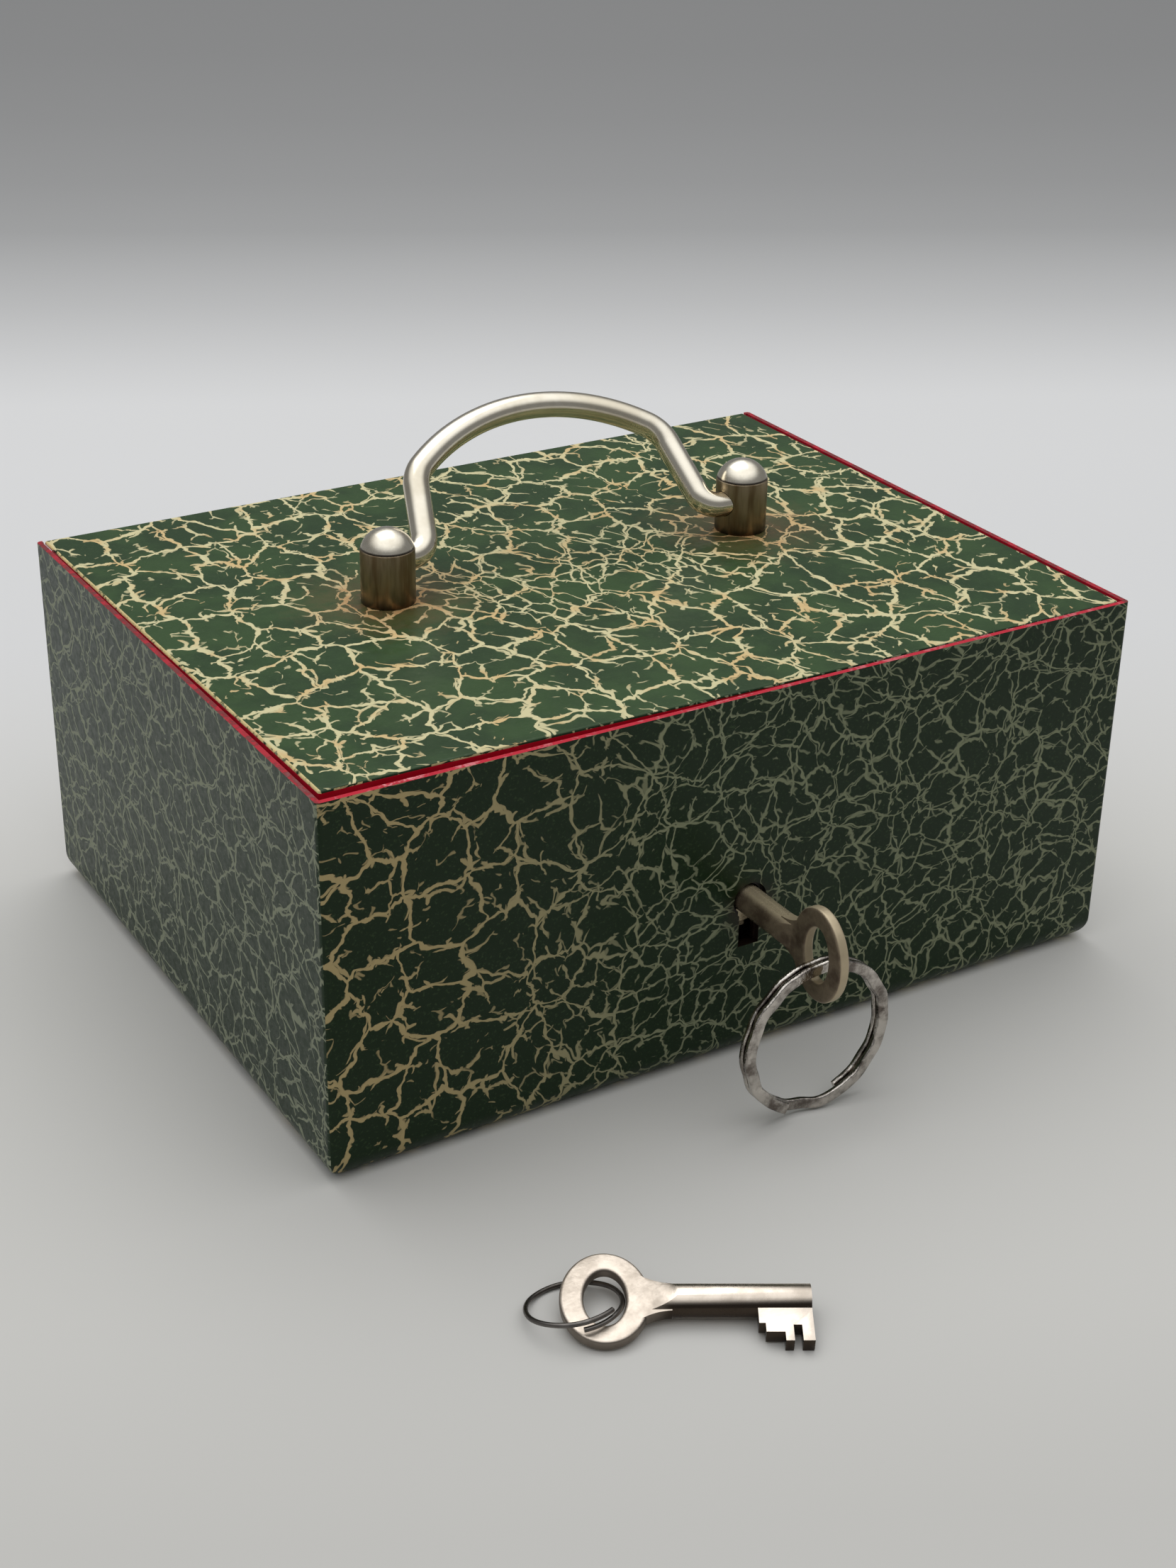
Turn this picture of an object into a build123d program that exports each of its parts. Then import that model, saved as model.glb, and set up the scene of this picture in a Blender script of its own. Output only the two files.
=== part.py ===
"""Lockable sheet-steel valuables box with an inset lid, a bail handle and two pipe keys.

Millimetres. The origin is the centre of the box's underside: X is the box's width, -Y its front
and +Z up. The lid is shut, the lock is open, and the key's bit points down in the keyhole.
"""
import os
from math import cos, radians, sin, sqrt

from build123d import *

# Box
BOX_WIDTH = 200.0
BOX_DEPTH = 151.0
BOX_HEIGHT = 87.0
SHEET = 1.2
BASE_RADIUS = 5.5
FOLD_RADIUS = 1.0
FRONT = -BOX_DEPTH / 2
FRONT_INNER = FRONT + SHEET
REAR = BOX_DEPTH / 2
REAR_INNER = REAR - SHEET
SIDE_INNER = BOX_WIDTH / 2 - SHEET

# Lid: a shallow tray turned over, a little out of square in the rim
LID_SHEET = 1.0
LID_TOP = BOX_HEIGHT
LID_UNDER = LID_TOP - LID_SHEET
LID_FLANGE_BOTTOM = LID_TOP - 10.0
LID_LEFT = -98.0
LID_RIGHT = 98.2
LID_FRONT_LEFT = -72.6
LID_FRONT_RIGHT = -73.9
LID_FLANGE_REAR = 71.0
LID_EDGE_RADIUS = 0.7

# Hinge under the lid's rear edge
HINGE_Y = 74.0
HINGE_Z = 84.3
KNUCKLE_RADIUS = 1.5
KNUCKLE_BORE = 0.9
HINGE_PIN_RADIUS = 0.85
HINGE_LEAF = 0.6
HINGE_HALF = 96.6
KNUCKLES = 13
KNUCKLE_GAP = 0.3
LEAF_CLEARANCE = 0.4
BODY_LEAF_BOTTOM = 64.0
LID_LEAF_FRONT = 57.0
REAR_WALL_TOP = HINGE_Z - 2.35

# Ledges
LEDGE_WIDTH = 5.0
LEDGE_TOP = LID_FLANGE_BOTTOM - 0.1
LEDGE_LEG = 9.0
LEDGE_SHEET = 1.0
LEDGE_FRONT = -68.0
LEDGE_REAR = 60.0

# Handle posts
POST_LEFT_X = -44.4
POST_RIGHT_X = 49.2
POST_Y = 4.65
POST_RADIUS = 6.1
POST_BARREL = 12.8
DOME_RADIUS = 6.29
DOME_START = 17.5
POST_GROOVE = 0.4
SHANK_RADIUS = 2.5
SHANK_HOLE = 2.55
WASHER_RADIUS = 6.0
WASHER_THICK = 1.0
TAIL_RADIUS = 3.8
TAIL_HEIGHT = 1.4

# Handle: a bent rod, leaning back from the posts, with its left foot a little higher
ROD_RADIUS = 3.0
ROD_HOLE = 3.06
ROD_HOLE_PAST = 0.5
HANDLE_X = (POST_LEFT_X + POST_RIGHT_X) / 2
PIVOT_Z = LID_TOP + 8.0
HANDLE_LEAN = 45.0
FOOT_HALF = 46.2
FOOT_RISE = 1.7
FOOT_DROP = 1.2
LEG_LEFT = 36.8
LEG_RIGHT = 35.9
SHOULDER_HALF = 32.6
SHOULDER_RISE = 19.9
APEX_RISE = 32.0
LEG_BEND = 4.6
SHOULDER_BEND = 9.0

# Key
KEY_LENGTH = 47.0
KEY_RADIUS = 3.2
BOW_LENGTH = 17.0
BOW_WIDTH = 21.4
BOW_HOLE_LENGTH = 8.0
BOW_HOLE_WIDTH = 12.8
BOW_THICK = 2.5
BOW_EDGE = 0.7
NECK_START = 13.6
NECK_HALF = 6.4
NECK_MIDDLE = (16.4, 4.4)
NECK_OTHER_MIDDLE = (16.4, -4.4)
NECK_END = 21.0
FACET_END = 22.5
BIT_THICK = 3.0
BIT_LENGTH = 10.1
BIT_REACH = 10.3
STEP_LOW = 6.3
STEP_MID = 8.3
WARD_CUT = 6.7
BIT_STEPS = (1.2, 4.7, 6.3, 7.9)
KEY_BORE = 1.55
KEY_BORE_DEPTH = 12.5

# Lock, behind the front wall
KEY_Z = 38.4
KEYHOLE_RADIUS = 4.2
KEYHOLE_SLOT = 5.2
KEYHOLE_BOTTOM = 27.5
KEY_TIP_Y = FRONT + 12.9
PLATE_THICK = 1.2
PLATE_BACK = FRONT_INNER + PLATE_THICK
CASE_SHEET = 1.0
CASE_BACK = -58.8
CASE_INNER = CASE_BACK - CASE_SHEET
CASE_LEFT = -39.0
CASE_RIGHT = 22.0
CASE_BOTTOM = 24.0
CASE_TOP = 74.0
EAR = 9.0
SCREW_RADIUS = 1.5
SCREW_HOLE = 1.55
SCREW_HEAD = 2.8
SCREW_HEAD_HEIGHT = 1.8
SCREW_SLOT = 0.8
SCREWS = [(x, z) for x in (CASE_LEFT - EAR / 2, CASE_RIGHT + EAR / 2) for z in (31.0, 67.0)]

# Bolt and levers
BOLT_THROW = 6.0
BOLT_FRONT = -64.7
BOLT_BACK = -62.7
BOLT_LEFT = -31.0
BOLT_RIGHT = 14.1
BOLT_LOW = 50.0
BOLT_HIGH = 60.0
TALON_LOW = 44.0
TALON_WIDTH = 5.0
TALON_LEFT = -15.1
TALON_RIGHT = 9.1
GUIDE_RADIUS = 1.5
GUIDE_SLOT = 1.6
GUIDE_HEAD = 0.6
GUIDE_Z = 55.0
GUIDES_X = (-22.0, 10.0)
NOSE_LOW = 66.6
NOSE_HIGH = 70.6
NOSE_TIP = 5.6
ARM_LEFT = -10.0
ARM_RIGHT = -2.0
STUMP = 3.0
STUMP_LEFT = -6.0
STUMP_FRONT = -71.6
STUMP_SHANK = 1.0
LEVER_THICK = 1.2
LEVER_FRONTS = (-71.4, -69.7, -67.8)
LEVER_BELLIES = (KEY_Z + STEP_MID + 0.7, KEY_Z + STEP_MID + 0.7, KEY_Z + BIT_REACH + 0.7)
LEVER_TIP = 13.0
LEVER_HIGH = 61.0
LEVER_POST_X = -34.0
LEVER_POST_Z = 52.0
LEVER_POST_RADIUS = 2.0
LEVER_BORE = 2.05
LEVER_BOSS = 4.0
LEVER_COLLAR = -66.4
LEVER_SHOULDER = -14.0
LEVER_RISE = -20.0
LEVER_ARM = 4.5
WINDOW_LOW = 50.5
WINDOW_HIGH = 57.0
WINDOW_SIDE = 0.8
SPRING_THICK = 0.4
SPRING_INSET = 0.2
SPRING_START = -25.0
SPRING_BEND = -31.0
SPRING_TIP = -36.2
SPRING_RISE = 12.0

# Ward plate and drill pin
WARD_FRONT = -66.1
WARD_THICK = 1.0
WARD_RADIUS = 7.0
WARD_TOP = 49.6
DRILL_RADIUS = 1.45
DRILL_HOLE = 1.52
DRILL_TIP = -73.0
DRILL_HEAD = 1.4
DRILL_COLLAR = 1.0
DRILL_PLAY = 0.1

# Strike on the lid
STRIKE_LEFT = 6.0
STRIKE_RIGHT = 16.0
STRIKE_LOW = 62.0
STRIKE_NOTCH = 12.6
STRIKE_FOOT = 1.2
STRIKE_FOOT_FRONT = -70.0
STRIKE_FOOT_BACK = -58.0
STRIKE_SLOT_FRONT = -67.5
STRIKE_SLOT_BACK = -61.8

# Split ring on the key in the lock
RING_OUTER = 18.2
RING_RADIAL = 2.6
RING_AXIAL = 1.25
RING_PITCH = 1.75
RING_STEP_HALF = 20.0
RING_END_GAP = 3.0
RING_LOW = 0.6

# Spare key on the table, and its wire ring
SPARE_X = -80.5
SPARE_Y = -132.9
SPARE_TURN = -29.8
SPARE_ROLL = 12.0
TABLE_GAP = 0.05
WIRE_RADIUS = 0.5
WIRE_RING = 9.1
WIRE_RING_PITCH = 1.45
WIRE_RING_START = 102.0
WIRE_RING_TURN = 402.0
WIRE_RING_ALONG = 2.8
WIRE_RING_Z = 2.9
WIRE_RING_SLOPE = 8.0
WIRE_RING_TILT = 12.0


def block(x_range, y_range, z_range, mode=Mode.ADD):
    """A block between two corners, in the part being built."""
    ranges = (x_range, y_range, z_range)
    middle = tuple((low + high) / 2 for low, high in ranges)
    with Locations(middle):
        Box(*(high - low for low, high in ranges), mode=mode)


def round_x(x_range, y, z, radius, mode=Mode.ADD):
    """A cylinder along X."""
    with Locations((sum(x_range) / 2, y, z)):
        Cylinder(radius, x_range[1] - x_range[0], rotation=(0, 90, 0), mode=mode)


def round_y(x, y_range, z, radius, mode=Mode.ADD):
    """A cylinder along Y."""
    with Locations((x, sum(y_range) / 2, z)):
        Cylinder(radius, y_range[1] - y_range[0], rotation=(90, 0, 0), mode=mode)


def round_z(x, y, z_range, radius, mode=Mode.ADD):
    """A cylinder along Z."""
    with Locations((x, y, sum(z_range) / 2)):
        Cylinder(radius, z_range[1] - z_range[0], mode=mode)


def keyhole(y_range, radius, slot, bottom):
    """Cut a keyhole: a round hole with a slot below it."""
    round_y(0, y_range, KEY_Z, radius, Mode.SUBTRACT)
    block((-slot / 2, slot / 2), y_range, (bottom, KEY_Z), Mode.SUBTRACT)


def plate_xz(points, y_range):
    """A flat plate from an outline of (x, z) points, between two Y values."""
    with BuildSketch(Plane.XZ.offset(-y_range[1])) as outline:
        with BuildLine():
            Polyline(*points, close=True)
        make_face()
    extrude(outline.sketch, amount=y_range[1] - y_range[0])


def make_body_shell():
    """The folded box: rounded base edges, sharp upper folds, keyhole, lowered rear wall."""
    with BuildPart() as cavity:
        with BuildSketch(Plane.XY.offset(SHEET)):
            Rectangle(2 * SIDE_INNER, BOX_DEPTH - 2 * SHEET)
        extrude(amount=BOX_HEIGHT)
        fillet(cavity.faces().sort_by(Axis.Z)[0].edges(), BASE_RADIUS - SHEET)
    with BuildPart() as body_shell:
        with BuildSketch():
            Rectangle(BOX_WIDTH, BOX_DEPTH)
        extrude(amount=BOX_HEIGHT)
        fillet(body_shell.faces().sort_by(Axis.Z)[0].edges(), BASE_RADIUS)
        fillet(body_shell.edges().filter_by(Axis.Z), FOLD_RADIUS)
        add(cavity.part, mode=Mode.SUBTRACT)
        notch = SIDE_INNER - 0.2
        block((-notch, notch), (REAR_INNER - 0.2, REAR + 1), (REAR_WALL_TOP, BOX_HEIGHT + 1), Mode.SUBTRACT)
        keyhole((FRONT - 1, FRONT_INNER + 1), KEYHOLE_RADIUS, KEYHOLE_SLOT, KEYHOLE_BOTTOM)
    return body_shell.part


def make_lid_panel():
    """The lid: a flat sheet with front and side edges folded down, and the posts' two holes."""
    outline = [
        (LID_LEFT, LID_FRONT_LEFT),
        (LID_RIGHT, LID_FRONT_RIGHT),
        (LID_RIGHT, REAR),
        (LID_LEFT, REAR),
    ]
    pocket = [
        (LID_LEFT + LID_SHEET, LID_FRONT_LEFT + LID_SHEET),
        (LID_RIGHT - LID_SHEET, LID_FRONT_RIGHT + LID_SHEET),
        (LID_RIGHT - LID_SHEET, REAR + 1),
        (LID_LEFT + LID_SHEET, REAR + 1),
    ]
    with BuildPart() as lid_panel:
        with BuildSketch(Plane.XY.offset(LID_FLANGE_BOTTOM)):
            with BuildLine():
                Polyline(*outline, close=True)
            make_face()
        extrude(amount=LID_TOP - LID_FLANGE_BOTTOM)
        fillet(lid_panel.edges().filter_by(Axis.Z).filter_by_position(Axis.Y, FRONT, 0), LID_EDGE_RADIUS)
        fillet(lid_panel.faces().sort_by(Axis.Z)[-1].edges(), LID_EDGE_RADIUS)
        with BuildSketch(Plane.XY.offset(LID_FLANGE_BOTTOM - 1)):
            with BuildLine():
                Polyline(*pocket, close=True)
            make_face()
        extrude(amount=LID_UNDER - LID_FLANGE_BOTTOM + 1, mode=Mode.SUBTRACT)
        block(
            (-BOX_WIDTH, BOX_WIDTH),
            (LID_FLANGE_REAR, REAR + 1),
            (LID_FLANGE_BOTTOM - 1, LID_UNDER),
            Mode.SUBTRACT,
        )
        for x in (POST_LEFT_X, POST_RIGHT_X):
            round_z(x, POST_Y, (LID_UNDER - 1, LID_TOP + 1), SHANK_HOLE, Mode.SUBTRACT)
    return lid_panel.part


def knuckle_spans(first):
    """The X spans of every second knuckle, from the first index."""
    pitch = 2 * HINGE_HALF / KNUCKLES
    starts = [-HINGE_HALF + index * pitch for index in range(first, KNUCKLES, 2)]
    return [(start + KNUCKLE_GAP / 2, start + pitch - KNUCKLE_GAP / 2) for start in starts]


def cut_hinge_bore():
    """Cut the pin's bore through all of a leaf's knuckles."""
    round_x((-HINGE_HALF - 1, HINGE_HALF + 1), HINGE_Y, HINGE_Z, KNUCKLE_BORE, Mode.SUBTRACT)


def make_hinge_leaf_body():
    """The leaf welded inside the rear wall, with its rolled knuckles."""
    leaf_y = (REAR_INNER - HINGE_LEAF, REAR_INNER)
    strip_top = HINGE_Z - KNUCKLE_RADIUS - LEAF_CLEARANCE
    with BuildPart() as hinge_leaf_body:
        block((-HINGE_HALF, HINGE_HALF), leaf_y, (BODY_LEAF_BOTTOM, strip_top))
        for span in knuckle_spans(0):
            block(span, leaf_y, (strip_top - 1, HINGE_Z))
            round_x(span, HINGE_Y, HINGE_Z, KNUCKLE_RADIUS)
        cut_hinge_bore()
    return hinge_leaf_body.part


def make_hinge_leaf_lid():
    """The leaf welded under the lid, with the knuckles between those of the body's leaf."""
    leaf_z = (LID_UNDER - HINGE_LEAF, LID_UNDER)
    strip_rear = HINGE_Y - KNUCKLE_RADIUS - LEAF_CLEARANCE
    with BuildPart() as hinge_leaf_lid:
        block((-HINGE_HALF, HINGE_HALF), (LID_LEAF_FRONT, strip_rear), leaf_z)
        for span in knuckle_spans(1):
            block(span, (strip_rear - 1, HINGE_Y), leaf_z)
            round_x(span, HINGE_Y, HINGE_Z, KNUCKLE_RADIUS)
        cut_hinge_bore()
    return hinge_leaf_lid.part


def make_hinge_pin():
    """The pin, as long as the knuckles."""
    with BuildPart() as hinge_pin:
        round_x((-HINGE_HALF, HINGE_HALF), HINGE_Y, HINGE_Z, HINGE_PIN_RADIUS)
    return hinge_pin.part


def make_ledge(side):
    """The angle strip inside a side wall that the closed lid's edge rests on."""
    wall = side * SIDE_INNER
    shelf = sorted((wall, wall - side * LEDGE_WIDTH))
    leg = sorted((wall, wall - side * LEDGE_SHEET))
    with BuildPart() as ledge:
        block(shelf, (LEDGE_FRONT, LEDGE_REAR), (LEDGE_TOP - LEDGE_SHEET, LEDGE_TOP))
        block(leg, (LEDGE_FRONT, LEDGE_REAR), (LEDGE_TOP - LEDGE_LEG, LEDGE_TOP))
    return ledge.part


def handle_plane():
    """The leaning plane of the handle: X along the arch's base line, Y up the handle."""
    lean = radians(HANDLE_LEAN)
    return Plane(
        origin=(HANDLE_X, POST_Y, PIVOT_Z),
        x_dir=(1, 0, 0),
        z_dir=(0, -cos(lean), sin(lean)),
    )


def pivot_point(x):
    """The point of the pivot line at a distance along the arch's base line, in the handle's plane."""
    share = (x + FOOT_HALF) / (2 * FOOT_HALF)
    return Vector(x, FOOT_RISE - (FOOT_RISE + FOOT_DROP) * share)


def make_handle_post(x, inner_side):
    """A domed post with a blind cross hole for the handle and a shank riveted under the lid."""
    plane = handle_plane()
    blind = plane.from_local_coords(pivot_point(x - inner_side * ROD_HOLE_PAST - HANDLE_X))
    face = plane.from_local_coords(pivot_point(x + inner_side * (POST_RADIUS + 1) - HANDLE_X))
    tail_top = LID_UNDER - WASHER_THICK
    shoulder = LID_TOP + POST_BARREL
    with BuildPart() as handle_post:
        round_z(x, POST_Y, (LID_TOP, shoulder), POST_RADIUS)
        with Locations((x, POST_Y, shoulder)):
            Torus(POST_RADIUS + 0.1, POST_GROOVE, mode=Mode.SUBTRACT)
            Sphere(DOME_RADIUS, DOME_START, align=(Align.CENTER, Align.CENTER, Align.MIN))
        round_z(x, POST_Y, (tail_top, LID_TOP), SHANK_RADIUS)
        round_z(x, POST_Y, (tail_top - TAIL_HEIGHT, tail_top), TAIL_RADIUS)
        fillet(handle_post.edges().group_by(Axis.Z)[0], TAIL_HEIGHT * 0.7)
        with BuildSketch(Plane(origin=blind, z_dir=face - blind)):
            Circle(ROD_HOLE)
        extrude(amount=(face - blind).length, mode=Mode.SUBTRACT)
    return handle_post.part


def make_post_washers():
    """The washers between the lid's underside and the posts' riveted tails."""
    with BuildPart() as post_washers:
        for x in (POST_LEFT_X, POST_RIGHT_X):
            round_z(x, POST_Y, (LID_UNDER - WASHER_THICK, LID_UNDER), WASHER_RADIUS)
            round_z(x, POST_Y, (LID_UNDER - WASHER_THICK, LID_UNDER), SHANK_HOLE, Mode.SUBTRACT)
    return post_washers.part


def corner_fillet(corner, before, after, radius):
    """The two tangent points and the mid point of a round of given radius in a corner."""
    to_before = (before - corner).normalized()
    to_after = (after - corner).normalized()
    half = radians(to_before.get_angle(to_after)) / 2
    reach = radius / (sin(half) / cos(half))
    centre = corner + (to_before + to_after).normalized() * (radius / sin(half))
    middle = centre + (corner - centre).normalized() * radius
    return corner + to_before * reach, middle, corner + to_after * reach


def shoulder_points(foot):
    """Where the shoulder's bend meets the leg and the top arc, with the bend's mid point.

    The bend is a circle inside the line from the leg's foot and inside the top arc, touching both.
    """
    shoulder = Vector(SHOULDER_HALF, SHOULDER_RISE)
    sagitta = APEX_RISE - SHOULDER_RISE
    top_radius = (SHOULDER_HALF**2 + sagitta**2) / (2 * sagitta)
    top_centre = Vector(0, APEX_RISE - top_radius)
    along = (shoulder - foot).normalized()
    inward = Vector(-along.Y, along.X)
    start = foot + inward * SHOULDER_BEND - top_centre
    projection = start.dot(along)
    gap = start.dot(start) - (top_radius - SHOULDER_BEND) ** 2
    travel = -projection + sqrt(projection**2 - gap)
    centre = foot + inward * SHOULDER_BEND + along * travel
    on_leg = foot + along * travel
    on_arc = centre + (centre - top_centre).normalized() * SHOULDER_BEND
    outward = (on_leg - centre).normalized() + (on_arc - centre).normalized()
    middle = centre + outward.normalized() * SHOULDER_BEND
    return on_leg, middle, on_arc


def bail_side(side):
    """The points of one side of the handle, from its foot's end to the top arc."""
    leg = LEG_RIGHT if side > 0 else LEG_LEFT
    corner = Vector(leg, pivot_point(side * leg).Y)
    end = Vector(FOOT_HALF, pivot_point(side * FOOT_HALF).Y)
    on_leg, bend, on_arc = shoulder_points(corner)
    from_foot, knee, to_leg = corner_fillet(corner, end, on_leg, LEG_BEND)
    plane = handle_plane()
    points = [end, from_foot, knee, to_leg, on_leg, bend, on_arc]
    return [plane.from_local_coords(Vector(side * point.X, point.Y)) for point in points]


def make_handle_bail():
    """The bent rod: feet in the posts, legs, shoulders and a shallow top arc, leaning back."""
    left, right = bail_side(-1), bail_side(1)
    apex = handle_plane().from_local_coords(Vector(0, APEX_RISE))
    with BuildPart() as handle_bail:
        with BuildLine() as path:
            Line(left[0], left[1])
            ThreePointArc(left[1], left[2], left[3])
            Line(left[3], left[4])
            ThreePointArc(left[4], left[5], left[6])
            ThreePointArc(left[6], apex, right[6])
            ThreePointArc(right[6], right[5], right[4])
            Line(right[4], right[3])
            ThreePointArc(right[3], right[2], right[1])
            Line(right[1], right[0])
        route = path.wire()
        with BuildSketch(Plane(origin=route @ 0, z_dir=route % 0)):
            Circle(ROD_RADIUS)
        sweep(path=route)
    return handle_bail.part


def make_lock_plate():
    """The plate welded inside the front wall, which guides the key's shaft and holds the case."""
    plate_y = (FRONT_INNER, PLATE_BACK)
    cut_y = (FRONT_INNER - 1, PLATE_BACK + 1)
    with BuildPart() as lock_plate:
        block((CASE_LEFT - EAR, CASE_RIGHT + EAR), plate_y, (CASE_BOTTOM, CASE_TOP))
        keyhole(cut_y, KEY_RADIUS + 0.3, BIT_THICK + 1.2, KEYHOLE_BOTTOM)
        for x, z in SCREWS:
            round_y(x, cut_y, z, SCREW_HOLE, Mode.SUBTRACT)
    return lock_plate.part


def make_lock_case():
    """The folded case over the works, with four ears, a slot for the strike and rivet holes."""
    back_y = (CASE_INNER - 1, CASE_BACK + 1)
    with BuildPart() as lock_case:
        block((CASE_LEFT, CASE_RIGHT), (PLATE_BACK, CASE_BACK), (CASE_BOTTOM, CASE_TOP))
        fillet(lock_case.faces().sort_by(Axis.Y)[-1].edges(), CASE_SHEET)
        for x, z in SCREWS:
            ear_x = (x - EAR / 2, x + EAR / 2)
            block(ear_x, (PLATE_BACK, PLATE_BACK + CASE_SHEET), (z - EAR / 2, z + EAR / 2))
            round_y(x, (PLATE_BACK - 1, PLATE_BACK + 2), z, SCREW_HOLE, Mode.SUBTRACT)
        block(
            (CASE_LEFT + CASE_SHEET, CASE_RIGHT - CASE_SHEET),
            (PLATE_BACK - 1, CASE_INNER),
            (CASE_BOTTOM + CASE_SHEET, CASE_TOP - CASE_SHEET),
            Mode.SUBTRACT,
        )
        block(
            (STRIKE_LEFT - 1, STRIKE_RIGHT + 1),
            (STRIKE_SLOT_FRONT, STRIKE_SLOT_BACK),
            (CASE_TOP - 2, CASE_TOP + 1),
            Mode.SUBTRACT,
        )
        round_y(0, back_y, KEY_Z, DRILL_HOLE, Mode.SUBTRACT)
        round_y(LEVER_POST_X, back_y, LEVER_POST_Z, LEVER_POST_RADIUS, Mode.SUBTRACT)
        for x in GUIDES_X:
            round_y(x, back_y, GUIDE_Z, GUIDE_RADIUS, Mode.SUBTRACT)
    return lock_case.part


def make_lock_screws():
    """Four slotted round-head screws through the case's ears."""
    head_low = PLATE_BACK + CASE_SHEET
    head_high = head_low + SCREW_HEAD_HEIGHT
    with BuildPart() as lock_screws:
        for x, z in SCREWS:
            round_y(x, (FRONT_INNER + 0.1, head_low), z, SCREW_RADIUS)
            round_y(x, (head_low, head_high), z, SCREW_HEAD)
        fillet(lock_screws.edges().group_by(Axis.Y)[-1], SCREW_HEAD_HEIGHT * 0.6)
        for x, z in SCREWS:
            slot_x = (x - SCREW_HEAD, x + SCREW_HEAD)
            slot_z = (z - SCREW_SLOT / 2, z + SCREW_SLOT / 2)
            block(slot_x, (head_high - SCREW_SLOT, head_high + 1), slot_z, Mode.SUBTRACT)
    return lock_screws.part


def make_ward_plate():
    """The ward that the cut in the bit passes, with the bit's way in below it."""
    ward_y = (WARD_FRONT, WARD_FRONT + WARD_THICK)
    cut_y = (WARD_FRONT - 1, WARD_FRONT + WARD_THICK + 1)
    with BuildPart() as ward_plate:
        block(
            (CASE_LEFT + CASE_SHEET, CASE_RIGHT - CASE_SHEET),
            ward_y,
            (CASE_BOTTOM + CASE_SHEET, WARD_TOP),
        )
        round_y(LEVER_POST_X, cut_y, LEVER_POST_Z, LEVER_BOSS + 0.6, Mode.SUBTRACT)
        keyhole(cut_y, WARD_RADIUS, BIT_THICK + 1.2, KEYHOLE_BOTTOM)
    return ward_plate.part


def make_drill_pin():
    """The pin inside the pipe key, turning in the case's back between a collar and a head."""
    with BuildPart() as drill_pin:
        round_y(0, (DRILL_TIP, CASE_BACK + DRILL_HEAD), KEY_Z, DRILL_RADIUS)
        chamfer(drill_pin.edges().group_by(Axis.Y)[0], 0.4)
        round_y(0, (CASE_INNER - DRILL_COLLAR, CASE_INNER - DRILL_PLAY), KEY_Z, DRILL_RADIUS + 1.0)
        round_y(0, (CASE_BACK + DRILL_PLAY, CASE_BACK + DRILL_HEAD), KEY_Z, DRILL_RADIUS + 1.5)
    return drill_pin.part


def make_bolt_guides():
    """The two studs in the case's back on which the bolt slides, with thin heads."""
    head_back = BOLT_FRONT - 0.1
    with BuildPart() as bolt_guides:
        for x in GUIDES_X:
            round_y(x, (head_back, CASE_BACK), GUIDE_Z, GUIDE_RADIUS)
            round_y(x, (head_back - GUIDE_HEAD, head_back), GUIDE_Z, GUIDE_RADIUS + 1.0)
    return bolt_guides.part


def make_lock_bolt():
    """The sliding bolt: a bar with two guide slots and two talons, and an arm with a nose."""
    bolt_y = (BOLT_FRONT, BOLT_BACK)
    cut_y = (BOLT_FRONT - 1, BOLT_BACK + 1)
    with BuildPart() as lock_bolt:
        block((BOLT_LEFT, BOLT_RIGHT), bolt_y, (BOLT_LOW, BOLT_HIGH))
        block((TALON_LEFT - TALON_WIDTH, TALON_LEFT), bolt_y, (TALON_LOW, BOLT_LOW))
        block((TALON_RIGHT, TALON_RIGHT + TALON_WIDTH), bolt_y, (TALON_LOW, BOLT_LOW))
        block((ARM_LEFT, ARM_RIGHT), bolt_y, (BOLT_HIGH, NOSE_HIGH))
        block((ARM_LEFT, NOSE_TIP), bolt_y, (NOSE_LOW, NOSE_HIGH))
        for x in GUIDES_X:
            round_y(x, cut_y, GUIDE_Z, GUIDE_SLOT, Mode.SUBTRACT)
            round_y(x - BOLT_THROW, cut_y, GUIDE_Z, GUIDE_SLOT, Mode.SUBTRACT)
            block((x - BOLT_THROW, x), cut_y, (GUIDE_Z - GUIDE_SLOT, GUIDE_Z + GUIDE_SLOT), Mode.SUBTRACT)
        round_y(STUMP_LEFT + STUMP / 2, cut_y, GUIDE_Z, STUMP_SHANK, Mode.SUBTRACT)
    return lock_bolt.part


def make_bolt_stump():
    """The square stump riveted in the bolt, which runs in the levers' windows."""
    with BuildPart() as bolt_stump:
        block(
            (STUMP_LEFT, STUMP_LEFT + STUMP),
            (STUMP_FRONT, BOLT_FRONT),
            (GUIDE_Z - STUMP / 2, GUIDE_Z + STUMP / 2),
        )
        round_y(STUMP_LEFT + STUMP / 2, (BOLT_FRONT, BOLT_BACK), GUIDE_Z, STUMP_SHANK)
    return bolt_stump.part


def make_lever_post():
    """The post of the levers, with a collar that keeps them off the bolt."""
    with BuildPart() as lever_post:
        round_y(LEVER_POST_X, (PLATE_BACK, CASE_BACK), LEVER_POST_Z, LEVER_POST_RADIUS)
        round_y(LEVER_POST_X, (LEVER_COLLAR, CASE_INNER), LEVER_POST_Z, LEVER_POST_RADIUS + 0.8)
    return lever_post.part


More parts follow.
